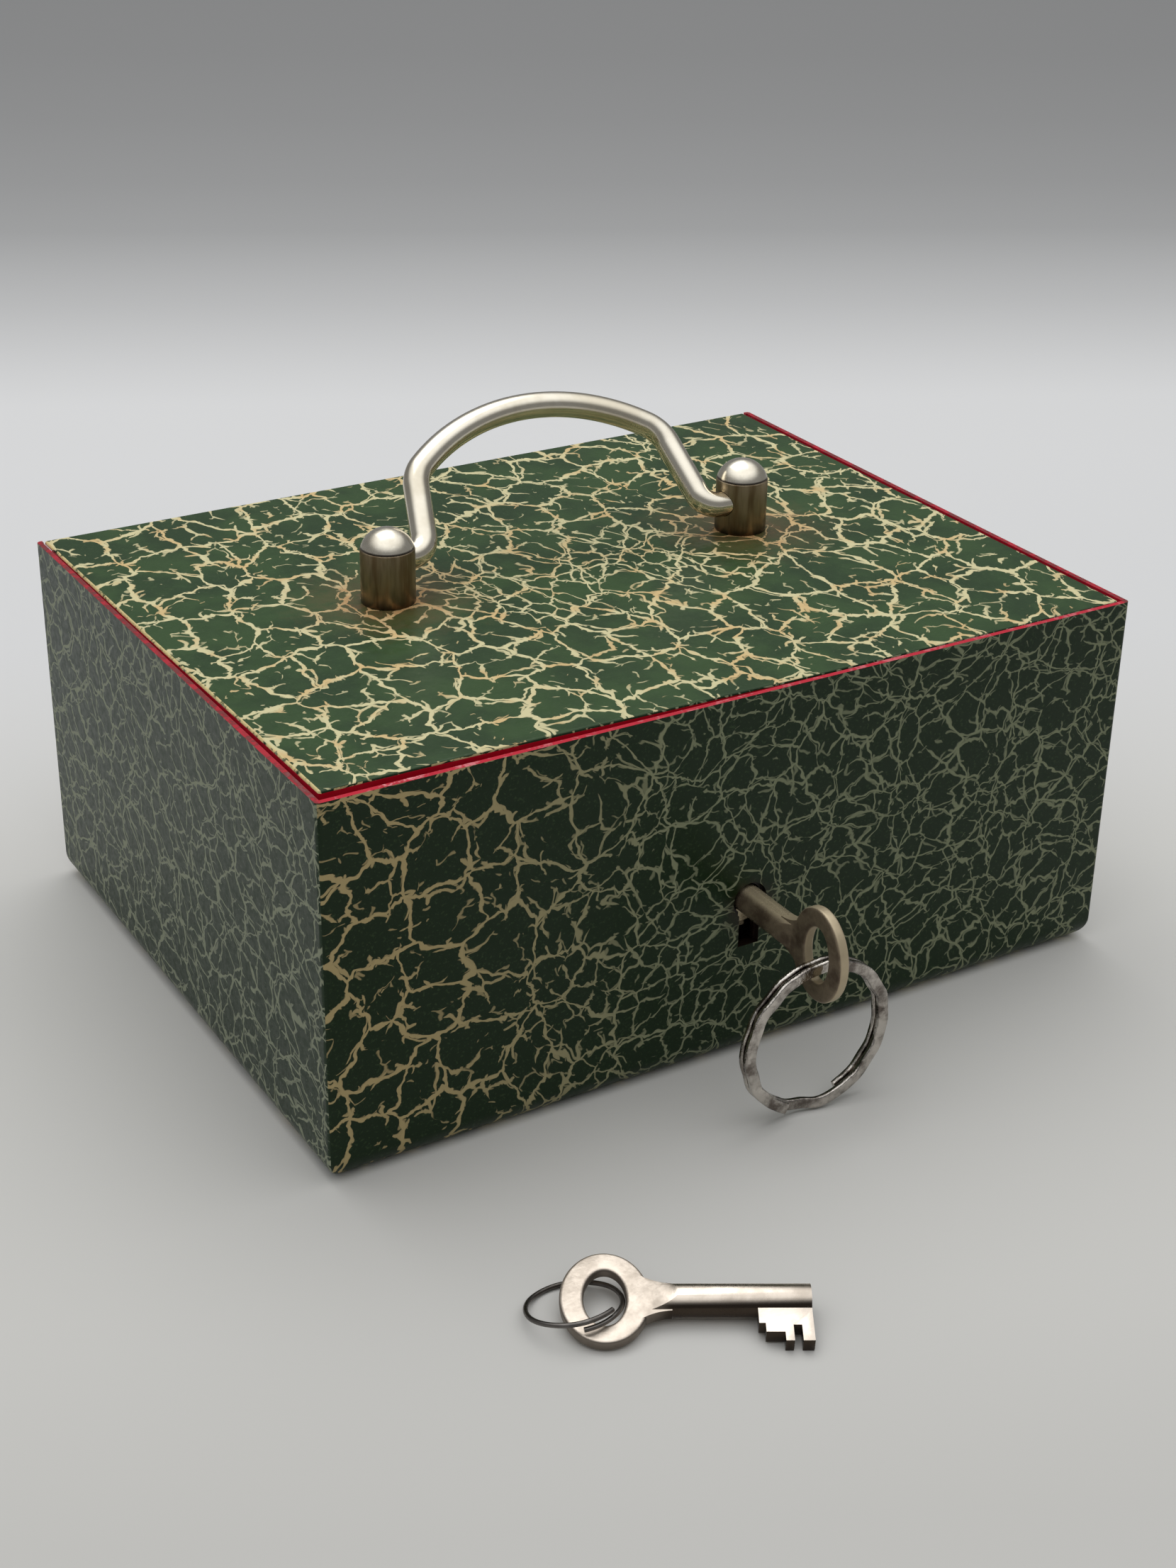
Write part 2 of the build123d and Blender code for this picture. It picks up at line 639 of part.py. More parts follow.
def make_lever(index):
    """A lever: a boss on the post, an arm with the stump's window, and a belly over the bit."""
    y_range = (LEVER_FRONTS[index], LEVER_FRONTS[index] + LEVER_THICK)
    cut_y = (y_range[0] - 1, y_range[1] + 1)
    belly = LEVER_BELLIES[index]
    arm = [
        (LEVER_POST_X, LEVER_POST_Z - LEVER_BOSS),
        (LEVER_SHOULDER, LEVER_POST_Z - 2.5),
        (LEVER_SHOULDER + 4.0, belly),
        (LEVER_TIP - 3.0, belly),
        (LEVER_TIP, belly + 3.0),
        (LEVER_TIP, LEVER_HIGH),
        (LEVER_SHOULDER, LEVER_HIGH),
        (LEVER_RISE, LEVER_POST_Z + LEVER_ARM),
        (LEVER_POST_X, LEVER_POST_Z + LEVER_ARM),
    ]
    window = (STUMP_LEFT - WINDOW_SIDE, STUMP_LEFT + STUMP + BOLT_THROW + WINDOW_SIDE)
    with BuildPart() as lever:
        plate_xz(arm, y_range)
        round_y(LEVER_POST_X, y_range, LEVER_POST_Z, LEVER_BOSS)
        round_y(LEVER_POST_X, cut_y, LEVER_POST_Z, LEVER_BORE, Mode.SUBTRACT)
        block(window, cut_y, (WINDOW_LOW, WINDOW_HIGH), Mode.SUBTRACT)
    return lever.part


def make_lever_springs():
    """Three thin leaf springs, each from its lever's back up to the case's side wall."""
    seat = LEVER_POST_Z + LEVER_ARM
    top = seat + SPRING_RISE
    strip = [
        (SPRING_START, seat),
        (SPRING_START, seat + SPRING_THICK),
        (SPRING_BEND, seat + SPRING_THICK),
        (SPRING_TIP, top),
        (SPRING_TIP - SPRING_THICK, top),
        (SPRING_BEND - SPRING_THICK, seat),
    ]
    with BuildPart() as lever_springs:
        for front in LEVER_FRONTS:
            plate_xz(strip, (front + SPRING_INSET, front + LEVER_THICK - SPRING_INSET))
    return lever_springs.part


def make_lock_strike():
    """The hook under the lid: a welded foot and a tongue with a notch that the bolt's nose fills."""
    tongue_y = (BOLT_FRONT, BOLT_BACK)
    foot_low = LID_UNDER - STRIKE_FOOT
    with BuildPart() as lock_strike:
        foot_y = (STRIKE_FOOT_FRONT, STRIKE_FOOT_BACK)
        block((STRIKE_LEFT - 6, STRIKE_RIGHT + 6), foot_y, (foot_low, LID_UNDER))
        block((STRIKE_LEFT, STRIKE_RIGHT), tongue_y, (STRIKE_LOW, foot_low))
        block(
            (STRIKE_LEFT - 1, STRIKE_NOTCH),
            (BOLT_FRONT - 1, BOLT_BACK + 1),
            (NOSE_LOW - 0.6, NOSE_HIGH + 0.8),
            Mode.SUBTRACT,
        )
    return lock_strike.part


def bit_outline():
    """The bit's stepped edge, from the bow's side to the tip, as (along, out) points."""
    start = KEY_LENGTH - BIT_LENGTH
    first, second, ward, last = (start + step for step in BIT_STEPS)
    root = KEY_RADIUS * 0.4
    return [
        (start, root),
        (start, STEP_LOW),
        (first, STEP_LOW),
        (first, STEP_MID),
        (second, STEP_MID),
        (second, BIT_REACH),
        (ward, BIT_REACH),
        (ward, WARD_CUT),
        (last, WARD_CUT),
        (last, BIT_REACH),
        (KEY_LENGTH, BIT_REACH),
        (KEY_LENGTH, root),
    ]


def make_key(place):
    """A pipe key, made along its own X from the bow's end, bit towards its own Y, then placed."""
    bow_x = BOW_LENGTH / 2
    shaft_start = BOW_LENGTH - 1.0
    with BuildPart() as key:
        with BuildSketch(Plane.XY.offset(-BOW_THICK / 2)):
            with Locations((bow_x, 0)):
                Ellipse(BOW_LENGTH / 2, BOW_WIDTH / 2)
                Ellipse(BOW_HOLE_LENGTH / 2, BOW_HOLE_WIDTH / 2, mode=Mode.SUBTRACT)
        extrude(amount=BOW_THICK)
        fillet(key.faces().filter_by(Axis.Z).edges(), BOW_EDGE)
        with BuildSketch(Plane.XY.offset(-BOW_THICK / 2)):
            with BuildLine():
                ThreePointArc((NECK_START, NECK_HALF), NECK_MIDDLE, (NECK_END, KEY_RADIUS))
                Line((NECK_END, KEY_RADIUS), (NECK_END, -KEY_RADIUS))
                ThreePointArc((NECK_END, -KEY_RADIUS), NECK_OTHER_MIDDLE, (NECK_START, -NECK_HALF))
                Line((NECK_START, -NECK_HALF), (NECK_START, NECK_HALF))
            make_face()
        extrude(amount=BOW_THICK)
        with Locations(((shaft_start + KEY_LENGTH) / 2, 0, 0)):
            Cylinder(KEY_RADIUS, KEY_LENGTH - shaft_start, rotation=(0, 90, 0))
        for side in (1, -1):
            with BuildSketch(Plane.XZ.offset(-KEY_RADIUS - 1)):
                with BuildLine():
                    Polyline(
                        (shaft_start - 4, side * BOW_THICK / 2),
                        (shaft_start + 1.2, side * BOW_THICK / 2),
                        (FACET_END, side * (KEY_RADIUS + 0.05)),
                        (FACET_END, side * (KEY_RADIUS + 2)),
                        (shaft_start - 4, side * (KEY_RADIUS + 2)),
                        close=True,
                    )
                make_face()
            extrude(amount=2 * KEY_RADIUS + 2, mode=Mode.SUBTRACT)
        with BuildSketch(Plane.XY.offset(-BIT_THICK / 2)):
            with BuildLine():
                Polyline(*bit_outline(), close=True)
            make_face()
        extrude(amount=BIT_THICK)
        with Locations((KEY_LENGTH - KEY_BORE_DEPTH / 2, 0, 0)):
            Cylinder(KEY_BORE, KEY_BORE_DEPTH + 0.001, rotation=(0, 90, 0), mode=Mode.SUBTRACT)
    return key.part.moved(Location(place))


def biarc(start, start_way, end, end_way):
    """Two arcs that leave start along start_way and reach end along end_way."""
    chord = end - start
    ways = start_way + end_way
    a = 2 * (1 - start_way.dot(end_way))
    b = 2 * chord.dot(ways)
    c = -chord.dot(chord)
    reach = -c / b if abs(a) < 1e-9 else (-b + sqrt(b * b - 4 * a * c)) / (2 * a)
    first = start + start_way * reach
    second = end - end_way * reach
    middle = (first + second) * 0.5
    TangentArc(start, middle, tangent=start_way)
    TangentArc(middle, end, tangent=(second - first).normalized())


def ring_point(plane, radius, angle, lift):
    """A point on a ring in a plane, and the ring's direction there, from an angle in degrees."""
    turn = radians(angle)
    out = plane.x_dir * cos(turn) + plane.y_dir * sin(turn)
    way = plane.y_dir * cos(turn) - plane.x_dir * sin(turn)
    return plane.origin + out * radius + plane.z_dir * lift, way


def ring_stations():
    """The split ring's stations: a flat turn, a short step to the next layer, a flat turn."""
    low, high = -RING_PITCH / 2, RING_PITCH / 2
    first = [RING_STEP_HALF + RING_END_GAP, 90, 180, 270, 360 - RING_STEP_HALF]
    second = [360 + RING_STEP_HALF, 450, 540, 630, 720 - RING_STEP_HALF - RING_END_GAP]
    return [(angle, low) for angle in first] + [(angle, high) for angle in second]


def wire_stations():
    """The wire ring's stations: a turn and an eighth, climbing steadily past its own end."""
    count = 6
    climb = WIRE_RING_PITCH * WIRE_RING_TURN / 360
    shares = [i / count for i in range(count + 1)]
    return [(WIRE_RING_START + WIRE_RING_TURN * share, climb * (share - 0.5)) for share in shares]


def ring_tube(plane, radius, stations, section):
    """Sweep a section along biarcs through the stations of a ring."""
    with BuildPart() as ring:
        with BuildLine() as path:
            for (angle, lift), (next_angle, next_lift) in zip(stations, stations[1:]):
                start, start_way = ring_point(plane, radius, angle, lift)
                end, end_way = ring_point(plane, radius, next_angle, next_lift)
                biarc(start, start_way, end, end_way)
        route = path.wire()
        with BuildSketch(Plane(origin=route @ 0, x_dir=plane.z_dir, z_dir=route % 0)):
            section()
        sweep(path=route)
    return ring.part


def least_gap(stations, radius, thickness):
    """The least clear distance between points a turn apart on a ring, from its stations."""
    samples = []
    for (angle, lift), (next_angle, next_lift) in zip(stations, stations[1:]):
        steps = max(2, round((next_angle - angle) / 5))
        for i in range(steps):
            share = i / steps
            ease = share * share * (3 - 2 * share)
            samples.append((angle + (next_angle - angle) * share, lift + (next_lift - lift) * ease))
    gaps = []
    for angle, lift in samples:
        for other, other_lift in samples:
            if other - angle > 180:
                across = 2 * radius * sin(radians((other - angle) / 2))
                gaps.append(sqrt(across**2 + (other_lift - lift) ** 2) - thickness)
    return min(gaps)


def make_key_ring():
    """The split ring, hanging from the bow of the key in the lock, its step at the bottom."""
    mean = RING_OUTER - RING_RADIAL / 2
    plane = Plane(
        origin=(0, bow_centre_y(), RING_LOW + RING_OUTER),
        x_dir=(0, 0, -1),
        z_dir=(0, -1, 0),
    )
    stations = ring_stations()
    print("key_ring least gap to itself", round(least_gap(stations, mean, RING_AXIAL), 2))
    return ring_tube(plane, mean, stations, lambda: RectangleRounded(RING_AXIAL, RING_RADIAL, 0.4))


def bow_centre_y():
    """The Y of the centre of the bow of the key in the lock."""
    return KEY_TIP_Y - KEY_LENGTH + BOW_LENGTH / 2


def spare_axes():
    """The spare key's directions: along it, towards its bit, and the height of its axis."""
    turn, roll = radians(SPARE_TURN), radians(SPARE_ROLL)
    along = Vector(cos(turn), sin(turn), 0)
    level = Vector(sin(turn), -cos(turn), 0)
    out = level * cos(roll) - Vector(0, 0, 1) * sin(roll)
    height = BIT_REACH * sin(roll) + BIT_THICK / 2 * cos(roll) + TABLE_GAP
    return along, out, height


def make_spare_key():
    """The second key, lying on the table on its bit's edge."""
    along, out, height = spare_axes()
    place = Plane(origin=(SPARE_X, SPARE_Y, height), x_dir=along, z_dir=along.cross(out))
    return make_key(place)


def make_spare_key_ring():
    """The thin wire ring: under the far side of the spare key's bow and over its near side."""
    along, out, _ = spare_axes()
    up = Vector(0, 0, 1)
    slope, tilt = radians(WIRE_RING_SLOPE), radians(WIRE_RING_TILT)
    to_outer = along * -cos(slope) - up * sin(slope)
    level = Vector(out.X, out.Y, 0).normalized()
    to_near = level * cos(tilt) + up * sin(tilt)
    middle = Vector(SPARE_X, SPARE_Y, WIRE_RING_Z) + along * WIRE_RING_ALONG
    normal = to_outer.cross(to_near)
    plane = Plane(origin=middle, x_dir=to_outer, z_dir=normal)
    stations = wire_stations()
    print("spare_key_ring least gap to itself", round(least_gap(stations, WIRE_RING, 2 * WIRE_RADIUS), 2))
    return ring_tube(plane, WIRE_RING, stations, lambda: Circle(WIRE_RADIUS))


def build_pieces():
    """Every piece by its name."""
    key_place = Plane(origin=(0, KEY_TIP_Y - KEY_LENGTH, KEY_Z), x_dir=(0, 1, 0), z_dir=(-1, 0, 0))
    return {
        "body_shell": make_body_shell(),
        "lid_rest_left": make_ledge(-1),
        "lid_rest_right": make_ledge(1),
        "hinge_leaf_body": make_hinge_leaf_body(),
        "hinge_pin": make_hinge_pin(),
        "lock_plate": make_lock_plate(),
        "lock_case": make_lock_case(),
        "lock_screws": make_lock_screws(),
        "ward_plate": make_ward_plate(),
        "lever_post": make_lever_post(),
        "bolt_guides": make_bolt_guides(),
        "lid_panel": make_lid_panel(),
        "hinge_leaf_lid": make_hinge_leaf_lid(),
        "lock_strike": make_lock_strike(),
        "handle_post_left": make_handle_post(POST_LEFT_X, 1),
        "handle_post_right": make_handle_post(POST_RIGHT_X, -1),
        "post_washers": make_post_washers(),
        "handle_bail": make_handle_bail(),
        "lock_bolt": make_lock_bolt(),
        "bolt_stump": make_bolt_stump(),
        "lever_1": make_lever(0),
        "lever_2": make_lever(1),
        "lever_3": make_lever(2),
        "lever_springs": make_lever_springs(),
        "drill_pin": make_drill_pin(),
        "key": make_key(key_place),
        "key_ring": make_key_ring(),
        "spare_key": make_spare_key(),
        "spare_key_ring": make_spare_key_ring(),
    }


os.makedirs("parts", exist_ok=True)
for name, piece in build_pieces().items():
    piece.label = name
    export_step(piece, f"parts/{name}.step")
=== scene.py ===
"""Finish for a small lockable sheet-steel valuables box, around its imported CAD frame.

Metres. X is the box's width, -Y its front with the keyhole, +Z up, and the floor is at Z = 0.
"""
import math
from functools import cache

import bpy
from bpy.props import FloatProperty, FloatVectorProperty, PointerProperty
from mathutils import Matrix, Vector


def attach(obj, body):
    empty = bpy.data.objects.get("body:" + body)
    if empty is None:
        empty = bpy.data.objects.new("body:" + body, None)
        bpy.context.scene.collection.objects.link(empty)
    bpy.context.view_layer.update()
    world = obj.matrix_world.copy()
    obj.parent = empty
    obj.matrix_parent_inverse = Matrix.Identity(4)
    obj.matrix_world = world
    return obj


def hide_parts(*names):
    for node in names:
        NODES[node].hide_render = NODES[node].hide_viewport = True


bl_info = {
    "name": "Valuables Box",
    "version": (1, 0, 0),
    "blender": (4, 5, 0),
    "location": "View3D > Sidebar > Valuables Box",
    "description": "Finishes a small enamelled valuables box with its handle, lock, keys and rings",
    "category": "Object",
}

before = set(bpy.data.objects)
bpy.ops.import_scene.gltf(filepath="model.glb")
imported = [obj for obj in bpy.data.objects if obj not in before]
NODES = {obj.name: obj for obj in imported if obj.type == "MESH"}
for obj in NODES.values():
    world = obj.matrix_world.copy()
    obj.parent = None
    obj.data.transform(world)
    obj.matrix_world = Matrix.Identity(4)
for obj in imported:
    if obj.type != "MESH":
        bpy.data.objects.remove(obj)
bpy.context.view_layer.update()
MM = 0.001
UP = Vector((0.0, 0.0, 1.0))

# The box and its lid
HALF_WIDTH = 0.1
HALF_DEPTH = 0.0755
BOX_HEIGHT = 0.087
SHELL_CENTRE = (0.0, 0.0, 0.0435)
RIM_CORNER = (-HALF_WIDTH, -HALF_DEPTH, BOX_HEIGHT)
RIM_WIDTH = 0.0014
KEYHOLE_HEIGHT = 0.0384
KEYHOLE_MIDDLE = KEYHOLE_HEIGHT - 0.002
POST_LEFT = Vector((-0.0444, 0.00465, BOX_HEIGHT))
POST_RIGHT = Vector((0.0492, 0.00465, BOX_HEIGHT))

# The middles of the two keys' bows
LOCK_KEY_BOW = (0.0, -0.1011, KEYHOLE_HEIGHT)
SPARE_BOW = (-0.0736, -0.1368, 0.006)

# The camera, solved from the photograph
CAMERA_PLACE = (-0.26546, -0.44249, 0.29621)
CAMERA_AZIMUTH = -31.45
CAMERA_ELEVATION = 27.055
CAMERA_ROLL = 0.995
CAMERA_LENS = 55.92
CAMERA_SENSOR = 36.0
CAMERA_NEAR = 0.01


def linear(red, green, blue):
    """A colour from 0 to 255 on the screen as the linear values of a shader."""
    def channel(value):
        value /= 255.0
        return value / 12.92 if value <= 0.04045 else ((value + 0.055) / 1.055) ** 2.4

    return (channel(red), channel(green), channel(blue), 1.0)


# Tones of the enamel where the settings don't give them
# The sides' green, greyed by a painted sheen.
SIDE_GREEN_SHEEN = linear(44, 60, 44)
LEVEL_SPECK = linear(66, 86, 52)
# The sides' specks, greyer as a painted sheen.
SIDE_SPECK_SHEEN = linear(120, 128, 112)
TAN_PATCH = linear(206, 178, 126)
# The cream on the front and back is darker than the lid's as painted shade; toward the left end it is also
# really browner.
FRONT_CREAM_SHADED_RIGHT = linear(124, 130, 102)
FRONT_CREAM_SHADED_LEFT = linear(170, 152, 108)
# The sides' cream, darker as painted shade and greyer as a painted sheen.
SIDE_CREAM_SHADE_SHEEN = linear(140, 146, 124)

# Tones of its stains and its wear, and of the painted shade in the keyhole
RUST_DARK = linear(84, 62, 42)
RUST_LIGHT = linear(196, 150, 98)
KEYHOLE_STAIN = linear(40, 30, 22)
# Painted shade in and behind the keyhole; on the hole's cut walls it also stands for bare dark steel.
KEYHOLE_PAINTED_SHADE = linear(30, 20, 15)
WORN_FOLD = linear(214, 196, 140)

# Tones of the red lacquer
CHIPPED_RED = linear(176, 24, 46)
PALE_CHIP = linear(236, 160, 164)
RIM_TARNISH = linear(98, 40, 38)
LID_EDGE_RED = linear(176, 10, 34)
INSIDE_RED = linear(172, 22, 44)

# Tones of the posts
POST_BROWN_LIGHT = linear(152, 138, 114)
POST_BROWN_DARK = linear(112, 94, 70)
DOME_TARNISH = linear(190, 180, 160)
# Darker in the groove under the dome and toward the foot on the lid
POST_GROOVE_FOOT_DARK = linear(44, 32, 24)


class Tree:
    """A node tree with short calls for the nodes that the finishes share."""

    def __init__(self, data):
        self.data = data
        self.column = 0

    def feed(self, sockets, values):
        """Feed sockets, by name or number, from other sockets or with plain values."""
        for name, value in values.items():
            if isinstance(value, bpy.types.NodeSocket):
                self.data.links.new(value, sockets[name])
            else:
                sockets[name].default_value = value

    def add(self, kind, **settings):
        """A node of a kind, with its settings, laid out in columns."""
        node = self.data.nodes.new(kind)
        node.location = (self.column // 6 * 190 - 1600, 400 - self.column % 6 * 190)
        self.column += 1
        for name, value in settings.items():
            setattr(node, name, value)
        return node

    def node(self, kind, inputs, **settings):
        """The outputs of a node of a kind, with its settings and its inputs fed."""
        node = self.add(kind, **settings)
        self.feed(node.inputs, inputs)
        return node.outputs

    def math(self, operation, first, second=0.0, third=0.0, clamp=False):
        """A math node on sockets or numbers."""
        inputs = {0: first, 1: second, 2: third}
        return self.node("ShaderNodeMath", inputs, operation=operation, use_clamp=clamp)[0]

    def times(self, first, second):
        """The product of two values."""
        return self.math("MULTIPLY", first, second)

    def line(self, value, slope, start):
        """A value times a slope, plus a start."""
        return self.math("MULTIPLY_ADD", value, slope, start)

    def inverse(self, value):
        """1 less a value, so that a mask turns into its opposite."""
        return self.math("SUBTRACT", 1.0, value)

    def vector(self, operation, first, second=(0.0, 0.0, 0.0)):
        """A vector math node. Its output is the vector, or the value for a length or a product."""
        outputs = self.node("ShaderNodeVectorMath", {0: first, 1: second}, operation=operation)
        return outputs["Value" if operation in {"LENGTH", "DISTANCE", "DOT_PRODUCT"} else "Vector"]

    def ramp(self, value, low, high, start=0.0, end=1.0):
        """A smooth step of a value from low to high, mapped to start and end."""
        inputs = {"Value": value, "From Min": low, "From Max": high, "To Min": start, "To Max": end}
        return self.node("ShaderNodeMapRange", inputs, interpolation_type="SMOOTHSTEP", clamp=True)["Result"]

    def noise(self, place, scale, detail=2.0, roughness=0.5):
        """The value of a noise at a scale per metre."""
        inputs = {"Vector": place, "Scale": scale, "Detail": detail, "Roughness": roughness}
        return self.node("ShaderNodeTexNoise", inputs)["Fac"]

    def mix(self, factor, first, second):
        """A colour between two colours."""
        return self.node("ShaderNodeMix", {0: factor, 6: first, 7: second}, data_type="RGBA")[2]

    def split(self, value):
        """The three parts of a vector."""
        return self.node("ShaderNodeSeparateXYZ", {0: value})

    def turned(self, place, turn=0.0, shift=(0.0, 0.0, 0.0), stretch=(1.0, 1.0, 1.0)):
        """A place turned in X and Y, moved and stretched, so that one net doesn't repeat another."""
        inputs = {"Vector": place, "Rotation": (0.0, 0.0, turn), "Location": shift, "Scale": stretch}
        return self.node("ShaderNodeMapping", inputs)[0]

    def bump(self, height, strength, distance):
        """The normal of a raised surface. Distance is how far a height of 1 stands up, in metres."""
        return self.node("ShaderNodeBump", {"Strength": strength, "Distance": distance, "Height": height})[0]

    def group(self, data, **values):
        """A shared group, with its inputs set by name, spaces written as underscores."""
        inputs = {name.replace("_", " "): value for name, value in values.items()}
        return self.node("ShaderNodeGroup", inputs, node_tree=data)


def new_group(name, inputs, outputs):
    """An empty shared group with its inputs' values. Returns its tree and its sockets, in and out."""
    data = bpy.data.node_groups.new(name, "ShaderNodeTree")
    for way, labels in (("INPUT", inputs), ("OUTPUT", outputs)):
        for label in labels:
            kind = "NodeSocketVector" if label == "Vector" else "NodeSocketFloat"
            socket = data.interface.new_socket(name=label, in_out=way, socket_type=kind)
            if kind == "NodeSocketFloat" and way == "INPUT":
                socket.default_value = inputs[label]
    tree = Tree(data)
    return tree, tree.add("NodeGroupInput").outputs, tree.add("NodeGroupOutput").inputs


# A face looks along an axis where its normal's part on that axis is above this
FACING = 0.7

# The normal's upward part at the top and at the foot of the lid's rounded edge
FOLD_TOP = 0.95
FOLD_FOOT = 0.2

# The lines of a crack net, made ragged by a noise of a scale per metre and a detail
CELL_RANDOMNESS = 0.92
CRACK_SOFTNESS = 0.0001
NEAR_GAIN = 0.22
TAPER = (-0.03, 0.07)
RAGGED_NOISE = (900.0, 1.0)
RAGGED = (0.7, 1.35)

# How the faces lie in the crackle's pattern: the lid's is drawn out and the walls' are shifted
LID_STRETCH = 0.82
SIDE_SHIFT = 0.41
LEFT_SHIFT = 0.83
FRONT_SHIFT = 0.37

# The crackle's nets: widths and whole shares are the value where it is fine and what coarseness adds
MAIN_CRACKS = {"cell": 1.0, "width": (0.48, 0.52), "whole": (0.50, 0.0), "patch": 0.008}
SPURS = {"cell": 0.55, "width": (0.50, 0.25), "whole": (0.78, -0.52), "patch": 0.006}
STROKES = {"cell": 0.3, "width": (0.42, 0.0), "whole": (0.24, -0.3), "patch": 0.0035}
SPUR_STRENGTH = 0.92
STROKE_STRENGTH = 0.7

# The noise that bends the crackle's lines: scales per metre and amounts in metres
WANDERS = ((50.0, 0.0090), (260.0, 0.0024), (600.0, 0.0012))

# The noises of the enamel: scale per metre, detail and roughness
BLOTCHES = (55.0, 3.0, 0.6)
SPECKS = (1500.0, 2.0, 0.6)
PATCHES = (130.0, 2.0)
RUBBED = (260.0, 3.0, 0.65)
CHIPS = (420.0, 3.0, 0.65)
SATIN = (600.0, 2.0)
GRAIN = (900.0, 2.0, 0.6)
ENAMEL_SPECULAR = 0.22


@cache
def wander_group():
    """Bends a place by noise, so that straight borders wander."""
    tree, given, out = new_group(
        "Wander", {"Vector": None, "Scale": 100.0, "Amount": 0.002, "Detail": 2.0}, ("Vector",),
    )
    inputs = {name: given[name] for name in ("Vector", "Scale", "Detail")}
    colour = tree.node("ShaderNodeTexNoise", inputs)["Color"]
    centred = tree.vector("SUBTRACT", colour, (0.5, 0.5, 0.5))
    shift = tree.node("ShaderNodeVectorMath", {0: centred, "Scale": given["Amount"]}, operation="SCALE")
    tree.feed(out, {"Vector": tree.vector("ADD", given["Vector"], shift["Vector"])})
    return tree.data


@cache
def crack_group():
    """One net of cracks with tapering, broken lines, and the distance to the middle of its lines.

    Near is 1 beside a larger crack, where this net's lines start as spurs. Whole is the share of
    unbroken lines.
    """
    tree, given, out = new_group(
        "Crack Net",
        {"Vector": None, "Cell Size": 0.012, "Width": 0.0008, "Near": 1.0, "Whole": 0.5, "Patch Size": 0.01},
        ("Crack", "Distance"),
    )
    place, cell = given["Vector"], given["Cell Size"]
    inputs = {"Vector": place, "Scale": tree.math("DIVIDE", 1.0, cell), "Randomness": CELL_RANDOMNESS}
    kind = {"feature": "DISTANCE_TO_EDGE", "voronoi_dimensions": "2D"}
    distance = tree.times(tree.node("ShaderNodeTexVoronoi", inputs, **kind)["Distance"], cell)
    patch = tree.math("DIVIDE", 1.0, given["Patch Size"])
    reach = tree.line(given["Near"], NEAR_GAIN, tree.noise(place, patch, 1.0))
    limit = tree.line(given["Whole"], -0.5, 0.75)
    taper = tree.ramp(tree.math("SUBTRACT", reach, limit), *TAPER)
    ragged = tree.ramp(tree.noise(place, *RAGGED_NOISE), 0.3, 0.7, *RAGGED)
    half = tree.times(given["Width"], 0.5)
    half = tree.times(half, tree.times(taper, ragged))
    crack = tree.ramp(tree.math("SUBTRACT", distance, half), -CRACK_SOFTNESS, CRACK_SOFTNESS, 1.0, 0.0)
    crack = tree.math("MULTIPLY", crack, tree.ramp(taper, 0.02, 0.2), clamp=True)
    tree.feed(out, {"Crack": crack, "Distance": distance})
    return tree.data


def new_material(name):
    """An empty material. Returns it, its tree, its Principled BSDF's inputs and its coordinates."""
    material = bpy.data.materials.new(name)
    material.use_nodes = True
    material.node_tree.nodes.clear()
    tree = Tree(material.node_tree)
    output = tree.add("ShaderNodeOutputMaterial")
    bsdf = tree.add("ShaderNodeBsdfPrincipled")
    tree.feed(output.inputs, {0: bsdf.outputs[0]})
    return material, tree, bsdf.inputs, tree.add("ShaderNodeTexCoord").outputs


def dress(piece, material):
    """Give a piece one material."""
    piece.data.materials.clear()
    piece.data.materials.append(material)


def dress_nodes(material, *names):
    """Give CAD nodes one material."""
    for name in names:
        dress(NODES[name], material)


def make_camera():
    """The camera of the photograph."""
    azimuth, elevation = math.radians(CAMERA_AZIMUTH), math.radians(CAMERA_ELEVATION)
    level = math.cos(elevation)
    back = Vector((math.sin(azimuth) * level, -math.cos(azimuth) * level, math.sin(elevation)))
    right = Vector((math.cos(azimuth), math.sin(azimuth), 0.0))
    up = back.cross(right)
    roll = math.radians(CAMERA_ROLL)
    turned_right = right * math.cos(roll) + up * math.sin(roll)
    turned_up = up * math.cos(roll) - right * math.sin(roll)
    data = bpy.data.cameras.new("photo_camera")
    data.lens = CAMERA_LENS
    data.sensor_width = CAMERA_SENSOR
    data.clip_start = CAMERA_NEAR
    camera = bpy.data.objects.new("photo_camera", data)
    matrix = Matrix((turned_right, turned_up, back)).transposed().to_4x4()
    matrix.translation = Vector(CAMERA_PLACE)
    camera.matrix_world = matrix
    bpy.context.scene.collection.objects.link(camera)
    bpy.context.scene.camera = camera


def unfold(tree, place, side, level):
    """Lay each face of the box flat in X and Y, each at its own part of the pattern."""
    x, y, z = tree.split(place)
    across = tree.math("ADD", tree.times(y, side), tree.times(x, tree.inverse(side)))
    drawn_out = tree.times(y, tree.times(level, LID_STRETCH))
    up = tree.math("ADD", drawn_out, tree.times(z, tree.inverse(level)))
    front = tree.math("LESS_THAN", y, 0.0)
    left = tree.math("LESS_THAN", x, 0.0)
    side_shift = tree.times(side, tree.line(left, LEFT_SHIFT, SIDE_SHIFT))
    shift = tree.math("ADD", side_shift, tree.times(front, FRONT_SHIFT))
    shift = tree.times(shift, tree.inverse(level))
    return tree.node("ShaderNodeCombineXYZ", {0: tree.math("ADD", across, shift), 1: up})[0]


def crack_lines(tree, place, coarse, near, settings, cell, width, whole, patch):
    """One net of the crackle, wider and more or less whole where the crackle is coarse."""
    widest = settings.crack_width
    return tree.group(
        crack_group(), Vector=place, Cell_Size=settings.cell_size * cell, Near=near,
        Width=tree.line(coarse, widest * width[1], widest * width[0]),
        Whole=tree.line(coarse, whole[1], whole[0]), Patch_Size=patch,
    )


